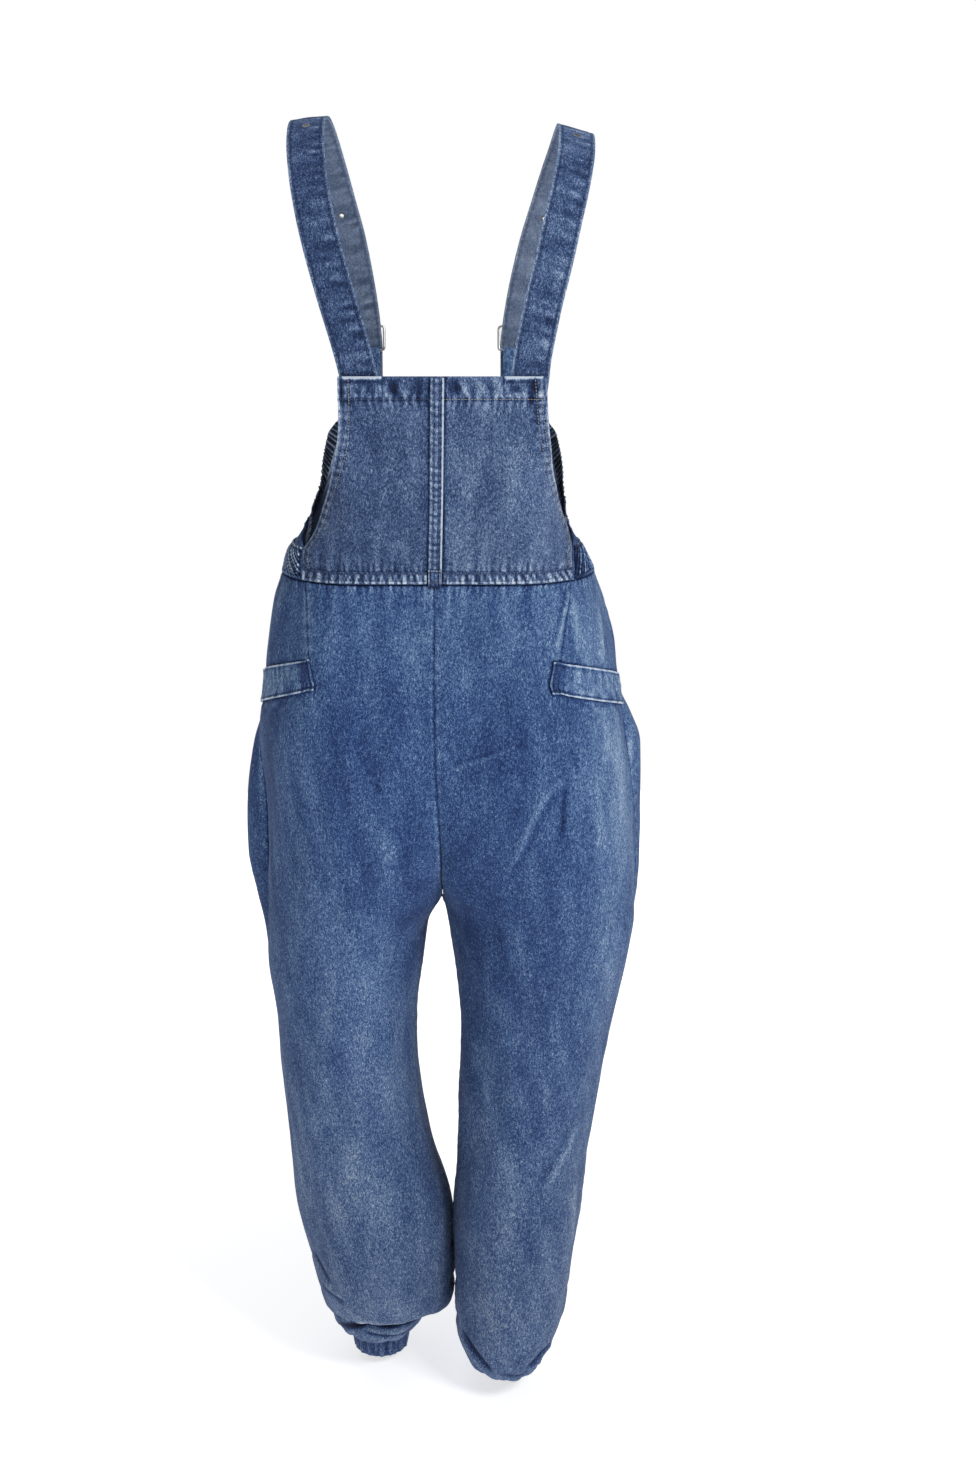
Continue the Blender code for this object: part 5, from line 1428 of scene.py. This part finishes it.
    def make_band(self, side: Side, shop: Workshop) -> None:
        """One side band between the bib's corner and the waist seam."""
        heights = np.linspace(SIDE_TOP + 0.5, WAIST + 0.3, 24)
        share = np.linspace(0.12 / 9, 3.5 / 9, 84)
        points = []
        for z in heights:
            start = self.edge_station(min(z, SIDE_TOP), side)
            points.append(round_points(start + (2 - start) * share, z, side.value))
        band = Cloth(np.array(points), side.value).lifted(BAND_OUT, TRIM)
        seed = 220 + side.value
        top, beside = band.away(Edge.TOP), band.beside(Edge.TOP)
        low = band.away(Edge.BOTTOM)
        lean = 0.25 if side is Side.RIGHT else 1.1
        # folds: hollows painted darker as shade, tops paler, and darker still towards the back bib's corner;
        # painted shade in the stitching's groove; folded edges worn pale
        near = bell(beside, 48)
        wave = ruffle(beside + lean * top, 7.5, seed) * (0.35 + 0.65 * near) * step(0.5, 6, low)
        fine = ruffle(beside - 0.4 * top, 4.2, seed + 4) * step(4, 9, top) * step(0.5, 4, low)
        band.height += 2.0 * wave * step(2, 9, top) + 0.5 * fine
        band.wear += 0.95 * wave + 0.35 * fine - (0.50 if side is Side.RIGHT else 0.26) * near
        band.lines(Edge.TOP, ((3.6, 0.7, 1.0, -0.40), (1.0, -0.3, 0.9, 0.42)))
        band.lines(Edge.BOTTOM, ((1.0, -0.3, 0.8, 0.50),))
        item = bevelled(band.make(f"vis_side_band_{side.word}", shop.finishes["denim_mid"]), 0.4)
        seams = shop.stitching(f"vis_band_stitches_{side.word}")
        for inset in self.band_rows:
            seams.sew(*band.course(Edge.TOP, inset))
        shop.enter(item, f"side_band_{side.word}",
                   [seams.make()])

    def make(self, shop: Workshop) -> None:
        """Build the bib, its edges and its bands."""
        self.make_bib(shop)
        for side in Side:
            self.make_edge(side, shop)
            self.make_band(side, shop)


# ---------------------------------------------------------------- straps

@dataclass
class Strap:
    """A strap from the back bib over the shoulder to the buckle, with holes for its eyelets."""
    side: Side
    seed: int
    tone: float                 # how much paler it is all over
    pitch: float = 2.0          # cell of the grid
    hole: float = 3.4           # radius left open for an eyelet
    stitch_row: float = 3.4     # from each edge

    def frames(self, stations: np.ndarray) -> Tuple[np.ndarray, np.ndarray, np.ndarray]:
        """Centre points, outward and widthwise directions at stations along the strap."""
        rows = np.array([hermite(range(len(STRAP)), STRAP, at) for at in stations])
        sign = self.side.value
        if self.side is Side.LEFT:
            places = np.stack((rows[:, 2], rows[:, 0], rows[:, 1]), axis=1)
            rolls = rows[:, 5]
        else:
            places = np.stack((-rows[:, 3], rows[:, 0], rows[:, 1] - rows[:, 4]), axis=1)
            rolls = rows[:, 6]
        tangent = unit(np.gradient(places, axis=0))
        out = unit(np.cross(tangent, np.array([1.0, 0.0, 0.0])))
        wide = np.cross(tangent, out)
        angle = sign * np.radians(rolls)[:, None]
        turned = wide * np.cos(angle) + out * np.sin(angle)
        return places, np.cross(turned, tangent), turned

    def make(self, shop: Workshop) -> None:
        """Build the strap and its stitching."""
        dense = np.linspace(0, len(STRAP) - 1, 900)
        length = lengths(self.frames(dense)[0])
        stations = np.interp(spread(length[-1], self.pitch) * length[-1], length, dense)
        places, out, wide = self.frames(stations)
        across = (spread(STRAP_WIDTH, self.pitch, 0.7) - 0.5) * STRAP_WIDTH
        points = places[:, None] + wide[:, None] * across[None, :, None]
        normal = np.repeat(out[:, None], len(across), axis=1)
        run = lengths(places)
        ahead = unit(np.gradient(places, axis=0))
        flat = np.stack(np.broadcast_arrays(run[:, None], across[None]), axis=-1)
        gone = np.zeros(points.shape[:2], bool)
        clear = np.ones(points.shape[:2])
        for station in EYELETS:
            middle = np.array([np.interp(station, stations, run), 0.0])
            off = flat - middle
            far = np.linalg.norm(off, axis=2)
            inside = far < self.hole
            gone |= inside
            push = off * (self.hole / np.maximum(far, 1e-6) - 1)[..., None] * inside[..., None]
            points = points + ahead[:, None] * push[..., :1] + wide[:, None] * push[..., 1:]
            clear *= step(4.5, 9.0, far)
        keep = ~(gone[:-1, :-1] & gone[1:, :-1] & gone[:-1, 1:] & gone[1:, 1:])
        strap = Cloth(points, self.side.value, STRAP_THICK, normal=normal)
        down = np.repeat(run[:, None], len(across), axis=1)
        rim = np.minimum(STRAP_WIDTH / 2 + across, STRAP_WIDTH / 2 - across)[None] + 0 * down
        wave = ruffle(down + 0.10 * across[None], 12.5, self.seed)
        slow = ruffle(down - 0.2 * across[None], 34.0, self.seed + 1)
        outer = 0.25 + 0.75 * step(-4, 8, across)[None]
        patchy = 0.55 + 0.6 * rumple(points, 17, 1.0, self.seed + 2)
        strap.height += (0.6 * wave * (0.4 + patchy) + 0.4 * slow) * clear * step(0, 2.5, rim)
        # cross folds: hollows painted darker as shade, tops paler; painted shade in the stitching's grooves;
        # edges worn paler
        strap.wear += (0.26 * wave * outer * patchy + 0.08 * slow) * step(3, 6, rim) + self.tone
        row = abs(rim - self.stitch_row)
        strap.groove(row, 0.45, 0.9, -0.20)
        strap.pucker(row, down, 0.3, 3.0, 6.0, self.seed + 3, 0.09, where=clear)
        strap.wear += 0.16 * (1 - step(2.0, 3.2, rim))
        strap.groove(rim, 0.35, 0.8, 0.06)
        item = bevelled(strap.make(f"vis_strap_{self.side.word}", shop.finishes["denim_light"], keep), 0.45)
        seams = shop.stitching(f"vis_strap_stitches_{self.side.word}", long=2.4, pitch=3.2, radius=0.3)
        for edge in (Edge.FIRST, Edge.LAST):
            seams.sew(*strap.course(edge, self.stitch_row))
        shop.enter(item, f"strap_{self.side.word}",
                   [seams.make()])


@dataclass
class Fastenings:
    """Strap tabs of cloth, and the metal: buckles, prongs and eyelets."""
    metal: Tuple[str, ...] = ("buckle", "prong", "eyelet")

    def make(self, shop: Workshop) -> None:
        """Finish the metal as it is and build the cloth tabs on their solids' form."""
        for name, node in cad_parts.items():
            if name.startswith(self.metal):
                node.data.materials.clear()
                node.data.materials.append(shop.finishes["nickel"])
        for side in Side:
            self.make_tab(side, shop)

    @staticmethod
    def make_tab(side: Side, shop: Workshop) -> None:
        """The folded tab that holds a buckle: its solid, rounded and softened."""
        name = f"strap_tab_{side.word}"
        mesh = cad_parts[name].data.copy()
        mesh.name = f"vis_{name}"
        bm = bmesh.new()
        bm.from_mesh(mesh)
        bmesh.ops.remove_doubles(bm, verts=bm.verts, dist=1e-5)
        bmesh.ops.subdivide_edges(bm, edges=bm.edges, cuts=1, use_grid_fill=True)
        layer = bm.verts.layers.float.new("wear")
        for vert in bm.verts:
            vert[layer] = 0.06
        for cell in bm.faces:
            cell.smooth = True
        item = shown(f"vis_{name}", bm, shop.finishes["denim_mid"])
        bevelled(item, 0.3)
        shop.enter(item, name)


@dataclass
class Cuff:
    """A ruched elastic cuff."""
    side: Side
    x: float
    y: float
    wide: float             # radius at the top
    narrow: float           # radius at the foot
    top: float
    low: float
    waves: int = 22         # folds round it
    wave: float = 1.7       # their height
    cloth_round: float = 0.36   # cloth gathered on to the elastic, in metres
    turning: float = 0.012      # turned under where the folded cloth is sewn in, in metres
    ruching: float = 1.15       # cloth in its folds, over its smooth form
    least: float = 0.31         # the cut's area at least, as a share of its rectangle

    def make(self, shop: Workshop) -> None:
        """Build the cuff."""
        angles = 2 * math.pi * np.arange(12 * self.waves) / (12 * self.waves)
        rays = np.stack((np.cos(angles), np.sin(angles), np.zeros(len(angles))), axis=1)
        way = self.side.value
        size = 0.8 + 0.35 * np.sin(4 * angles + way) + 0.25 * np.sin(9 * angles)
        rows, heights, wear_and_shade_rows = [], [], []
        for down in np.linspace(0, 1, 13):
            reach = self.wide + (self.narrow - self.wide) * down
            share = math.sin(math.pi * (0.25 + 0.5 * down))
            z = self.top - 0.2 + (self.low - self.top) * down
            rows.append(np.array([self.x, self.y, z]) + rays * reach)
            wave = (0.55 * np.cos(self.waves * angles + 1.3 * np.sin(3 * angles + way) + 0.9 * down)
                    + 0.45 * np.cos((self.waves - 7) * angles + 2.0 - 1.3 * down)
                    + 0.30 * np.cos((self.waves + 9) * angles + 0.6 * way))
            heights.append(self.wave * share * size * wave)
            # folds: hollows painted darker as shade, tops paler; the whole cuff darker, less so towards its
            # foot
            wear_and_shade_rows.append(0.16 * wave * size - 0.16 + 0.10 * down)
        cloth = Cloth(np.array(rows), wrap=True, normal=np.repeat(rays[None], len(rows), axis=0))
        cloth.height += np.array(heights)
        cloth.wear += np.array(wear_and_shade_rows)
        item = bevelled(cloth.make(f"vis_cuff_{self.side.word}", shop.finishes["denim_mid"]), 0.35)
        shop.enter(item, f"cuff_{self.side.word}")


# ---------------------------------------------------------------- room

def looking(place: Sequence[float], way: Vector) -> Matrix:
    """Where a camera or lamp stands, turned to look a way."""
    return Matrix.Translation(place) @ way.to_track_quat("-Z", "Y").to_matrix().to_4x4()


@dataclass
class Room:
    """A plain pale floor that glows, soft studio light and the camera."""
    floor_level: float = -1.435     # this and the other places are in metres
    floor_radius: float = 2.6
    floor_glow: float = 0.74
    sky: float = 0.22
    focal_pixels: float = 1700.0
    tall_pixels: float = 1464.0
    camera: Tuple[float, float, float] = (-0.054, 1.84, -0.178)
    tilt: float = 14.0
    film: float = 36.0
    aim: Tuple[float, float, float] = (0.0, 0.0, -0.7)      # the garment's middle
    # name, place, size in metres and power in watts
    lights: Tuple = (("key", (-1.6, 1.9, 1.2), 0.8, 44.0), ("fill", (2.4, 1.8, 0.2), 2.0, 3.0),
                     ("top", (0.2, 0.2, 2.4), 1.8, 15.0), ("back", (0.6, -2.8, 0.4), 2.4, 22.0))

    def make(self) -> None:
        """Build the floor, the lights, the world and the camera."""
        bm = bmesh.new()
        bmesh.ops.create_circle(bm, cap_ends=True, segments=96, radius=self.floor_radius,
                                matrix=Matrix.Translation((0, 0, self.floor_level)))
        material, shader, place = new_material("studio_floor")
        tree = material.node_tree
        tone = add_node(tree, "ShaderNodeTexNoise", {"Vector": place, "Scale": 3.0, "Detail": 1.0})
        ramp = add_node(tree, "ShaderNodeValToRGB", {0: tone.outputs[0]})
        ramp.color_ramp.elements[0].color = linear("#f8f8f8")
        ramp.color_ramp.elements[1].color = linear("#fcfcfc")
        tree.links.new(ramp.outputs["Color"], shader.inputs["Base Color"])
        fill_in(shader, {"Roughness": 0.9, "Emission Color": (1.0, 1.0, 1.0, 1.0)})
        # The floor glows so that it stays white, and lights the garment from below as a lamp would; the glow
        # is weaker near the middle, a painted shadow pool under the garment.
        middle = add_node(tree, "ShaderNodeVectorMath", {0: place, 1: (0.0, 0.0, self.floor_level)},
                          operation="DISTANCE").outputs["Value"]
        glow = add_node(tree, "ShaderNodeMapRange", {
            "Value": middle, 1: 0.25, 2: 1.7, 3: self.floor_glow - 0.14, 4: self.floor_glow},
            interpolation_type="SMOOTHSTEP")
        tree.links.new(glow.outputs[0], shader.inputs["Emission Strength"])
        floor = shown("studio_floor", bm, material)
        for lamp in self.lights:
            self.light(*lamp)
        world = bpy.data.worlds.new("studio")
        world.use_nodes = True
        sky = world.node_tree
        seen = add_node(sky, "ShaderNodeLightPath").outputs["Is Camera Ray"]
        strength = add_node(sky, "ShaderNodeMapRange", {"Value": seen, 3: self.sky, 4: 1.0})
        backdrop = sky.nodes["Background"]
        fill_in(backdrop, {"Color": (1.0, 1.0, 1.0, 1.0)})
        sky.links.new(strength.outputs[0], backdrop.inputs["Strength"])
        bpy.context.scene.world = world
        bpy.context.scene.view_settings.view_transform = "Standard"
        data = bpy.data.cameras.new("camera")
        data.sensor_width = self.film
        data.lens = self.film * self.focal_pixels / self.tall_pixels
        data.clip_start = 0.05
        data.clip_end = 60.0
        camera = bpy.data.objects.new("camera", data)
        bpy.context.scene.collection.objects.link(camera)
        tilt = math.radians(self.tilt)
        ahead = Vector((0.0, -math.cos(tilt), -math.sin(tilt)))
        camera.matrix_world = looking(self.camera, ahead)
        bpy.context.scene.camera = camera

    def light(self, name: str, place: Tuple[float, float, float], size: float, power: float) -> None:
        """A square soft light aimed at the garment's middle."""
        data = bpy.data.lights.new(name, "AREA")
        data.size = size
        data.energy = power
        lamp = bpy.data.objects.new(name, data)
        lamp.matrix_world = looking(place, Vector(self.aim) - Vector(place))
        bpy.context.scene.collection.objects.link(lamp)


# Creases, and patches worn paler or painted darker as shade, of each leg, by the side from which they are
# placed.
LEG_CREASES_L = (
    *marks(Crease, View.BACK, (
        # back of the thigh: a broad hollow that runs down from the hip, and the swell beside it
        (((122, -614), (100, -655), (89, -709), (75, -759), (71, -825)), -1.9, 10, -0.07),
        (((71, -664), (56, -712), (40, -756)), 1.6, 9, 0.06),
        (((56, -746), (42, -724)), 0.9, 2.4, 0.13),
        (((192, -606), (199, -693), (201, -800)), 1, 3.5, 0.17),
        # ankle: the cloth breaks over the cuff in a lip, with a second fold beneath; the lip paler, the dark
        # line under it a painted shadow
        (((134, -1359), (117.6, -1352), (86.4, -1333.5), (62.7, -1340), (45.2, -1341.5), (20.7, -1355)),
         1.6, 3, 0.20),
        (((134, -1367), (117, -1360.5), (86, -1342.5), (62, -1349), (45, -1350), (21, -1364)),
         -2.8, 3.2, -0.85),
        (((98, -1356), (74, -1363.5), (46, -1370), (30, -1368)), -2, 2.2, -0.42),
        (((98, -1351), (74, -1358.5), (46, -1365), (30, -1363)), 1.2, 2.2, 0.10),
        (((157, -1262), (142, -1274), (128, -1289)), -2.2, 3.4, -0.30),
        (((150, -1301), (130, -1305), (110, -1308)), -2.2, 3.2, -0.30),
        (((150, -1295.5), (130, -1299.5), (110, -1302)), 1.3, 3, 0.10),
        (((0, -1172), (-7, -1204), (-10, -1262)), -1.2, 3, -0.14),
    )),
    *marks(Crease, View.FRONT, (
        # front: whiskers from the crotch, breaks at the knee and above the cuff
        (((12, -742), (52, -712), (96, -700)), 1.5, 4.5, 0.08),
        (((16, -778), (58, -762), (104, -760)), 1.3, 4, 0.07),
        (((40, -1072), (86, -1062), (138, -1078)), -1.8, 8, -0.04),
        (((34, -1108), (80, -1096), (130, -1112)), 1.6, 8, 0.03),
        (((6, -1296), (60, -1312), (120, -1300)), -2.2, 5, -0.12),
        (((10, -1334), (62, -1344), (112, -1334)), -2.4, 4.5, -0.16),
    )),
    *marks(Crease, View.LEFT, (
        (((-66, -650), (-52, -740), (-30, -840)), -2, 9, -0.05),
        (((-56, -1262), (-22, -1284), (22, -1276)), -2.2, 5, -0.12),
        (((-58, -1316), (-18, -1330), (26, -1318)), -2.4, 4.5, -0.14),
    )),
    *marks(Crease, View.RIGHT, (
        (((-44, -1240), (-8, -1262), (34, -1256)), -2, 5, -0.10),
        (((-48, -1302), (-10, -1318), (30, -1310)), -2.2, 4.5, -0.12),
    )),
)
LEG_CREASES_R = (
    *marks(Crease, View.BACK, (
        # side of the hip: upright folds that hang from the waist seam
        (((-139, -456), (-131, -491), (-124, -522)), 1, 2, 0.22, 1),
        (((-141, -466), (-145.6, -503.5), (-149, -531)), 1, 2.4, 0.18),
        (((-171, -462), (-175, -520), (-177, -552)), 1.1, 2.8, 0.20),
        # seat and thigh: drag lines towards the crotch
        (((-14, -649), (-26, -641), (-46, -634), (-67, -625), (-84, -618)), 1.1, 2.2, 0.15, -1),
        (((-70, -764), (-91, -722), (-103.5, -691), (-117.5, -669), (-132, -651)), 2, 4, 0.13, 1),
        (((-137, -656), (-134, -681), (-133.5, -704), (-129, -724)), -1.9, 2.4, -0.28),
        (((-139, -620), (-144, -635), (-149, -655)), -1.2, 2, -0.20),
        (((-174, -580), (-179, -618), (-181, -656)), 0.9, 5, 0.17),
        (((-165, -640), (-169, -684), (-175, -750)), 1, 5.5, 0.14),
        (((-191, -580), (-196, -650), (-202, -728), (-206, -800)), 1, 8, 0.12),
        (((-212, -612), (-213, -697), (-219, -800)), 1, 2.6, 0.18),
        (((-157, -1070), (-135, -1117), (-117, -1148)), 1.4, 5, 0.15, 1),
        (((-158, -1146), (-152.5, -1190), (-148, -1240)), 1.2, 4, 0.15),
        # ankle: two deep tucks at the cuff, their troughs darker as painted shade
        (((-20, -1345), (-40, -1366), (-60, -1386)), -4, 3.2, -0.46),
        (((-12, -1352), (-33, -1374), (-54, -1394)), 1.6, 3, 0.10),
        (((-136, -1366), (-118, -1368), (-98, -1384)), -4, 3.2, -0.46),
        (((-138, -1374), (-120, -1376), (-100, -1392)), 1.6, 3, 0.10),
        (((-64, -1382), (-86, -1394), (-104, -1386)), -1, 2.2, -0.24),
    )),
    *marks(Crease, View.FRONT, (
        # front and sides
        (((-10, -748), (-50, -722), (-92, -712)), 1.5, 4.5, 0.08),
        (((-14, -784), (-60, -766), (-108, -768)), 1.3, 4, 0.07),
        (((-36, -1064), (-88, -1052), (-136, -1070)), -1.8, 8, -0.04),
        (((-34, -1100), (-84, -1088), (-128, -1104)), 1.6, 8, 0.03),
        (((-30, -1322), (-80, -1336), (-128, -1326)), -2.2, 5, -0.12),
        (((-38, -1360), (-82, -1372), (-122, -1360)), -2.4, 4.5, -0.16),
    )),
    *marks(Crease, View.RIGHT, (
        (((-60, -640), (-48, -730), (-24, -830)), -2, 9, -0.05),
        (((-28, -1290), (10, -1310), (54, -1300)), -2.2, 5, -0.12),
        (((-22, -1340), (14, -1354), (52, -1344)), -2.4, 4.5, -0.14),
    )),
    *marks(Crease, View.LEFT, (
        (((-26, -1280), (14, -1302), (58, -1292)), -2, 5, -0.10),
        (((-20, -1336), (16, -1350), (54, -1342)), -2.2, 4.5, -0.12),
    )),
)
LEG_FADES_AND_SHADE_L = (
    *marks(Fade, View.BACK, (
        # painted shade: the outer side of the thigh, and the middle of the seat, darker
        ((198, -720), (24, 180), -0.14),
        ((70, -640), (70, 110), -0.09),
    )),
    *marks(Fade, View.RIGHT, (
        ((0, -1236), (70, 58), 0.06, 0, 3.2),
    )),
    *marks(Fade, View.BACK, (
        ((80, -950), (60, 120), 0.05),
        ((100, -1130), (50, 90), 0.05),
        ((80, -1320), (70, 50), 0.07),
        # painted shade between the legs, below the crotch
        ((16, -810), (36, 90), -0.15),
    )),
    *marks(Fade, View.FRONT, (
        ((90, -1080), (50, 120), 0.09),
        ((80, -760), (60, 120), 0.06),
    )),
)
LEG_FADES_AND_SHADE_R = (
    *marks(Fade, View.BACK, (
        ((-160, -520), (30, 60), 0.06),
        ((-186, -640), (24, 100), 0.08),
        ((-188, -800), (20, 120), 0.08),
        # painted shade down the middle of the seat and between the legs, and darker lower on the thigh
        ((-66, -690), (70, 150), -0.09),
        ((-16, -810), (40, 90), -0.10),
        ((-90, -900), (70, 120), -0.06),
    )),
    *marks(Fade, View.LEFT, (
        ((0, -1236), (70, 58), 0, 0, 3.2),
    )),
    *marks(Fade, View.BACK, (
        ((-92, -1300), (50, 90), 0.05),
    )),
    *marks(Fade, View.FRONT, (
        ((-90, -1090), (50, 120), 0.09),
        ((-84, -770), (60, 120), 0.06),
    )),
)
# Corners of each pocket welt, as distance from the centre and height: upper inner, upper outer, lower outer,
# lower inner.
WELT_L = ((129.5, -530.0), (190.0, -569.0), (196.0, -604.5), (125.0, -561.5))
WELT_R = ((121.5, -532.0), (199.0, -577.0), (205.0, -607.0), (120.0, -564.5))


def main() -> None:
    """Dress the garment."""
    logging.basicConfig(level=logging.INFO, format="%(message)s")
    shop = Workshop({
        # darker and greyer low on the legs: partly greyer tone, partly painted shade against the floor's
        # bounce light
        "denim_mid": DenimFinish("denim_mid", faded=(0.98, 0.84, 0.76)).make(),
        "denim_light": DenimFinish("denim_light", dark="#26395f", body="#455c88", pale="#7e95b8").make(),
        "denim_reverse": DenimFinish("denim_reverse", deep="#39465f", dark="#55647f", body="#7484a0",
                                     pale="#9babc1", white="#d3dae4", grain=0.7).make(),
        # the elastic edges' finish: the denim's tones darkened, painted shade for the shadow the edges lie
        # in at the sides under the back bib
        "denim_elastic": DenimFinish("denim_elastic", deep="#0c111b", dark="#1b2333", body="#2c374c",
                                     pale="#4b5a72", white="#8391a6").make(),
        "nickel": NickelFinish("nickel").make(),
        "thread": ThreadFinish("thread", "#4a5264").make(),
        "thread_pale": ThreadFinish("thread_pale", "#b9b3a3").make(),
    })
    Leg(Side.LEFT, LEG_L, WELT_L, LEG_CREASES_L, LEG_FADES_AND_SHADE_L, seed=10).make(shop)
    Leg(Side.RIGHT, LEG_R, WELT_R, LEG_CREASES_R, LEG_FADES_AND_SHADE_R, seed=50).make(shop)
    BackBib().make(shop)
    FrontBib().make(shop)
    Strap(Side.LEFT, seed=300, tone=-0.09).make(shop)
    Strap(Side.RIGHT, seed=320, tone=-0.03).make(shop)
    Fastenings().make(shop)
    Cuff(Side.LEFT, x=78.0, y=-22.0, wide=35.8, narrow=32.2, top=-1388.3, low=-1420.0).make(shop)
    Cuff(Side.RIGHT, x=-78.0, y=32.0, wide=34.5, narrow=32.8, top=-1397.3, low=-1411.0).make(shop)
    Room().make()


if __name__ == "__main__":
    main()
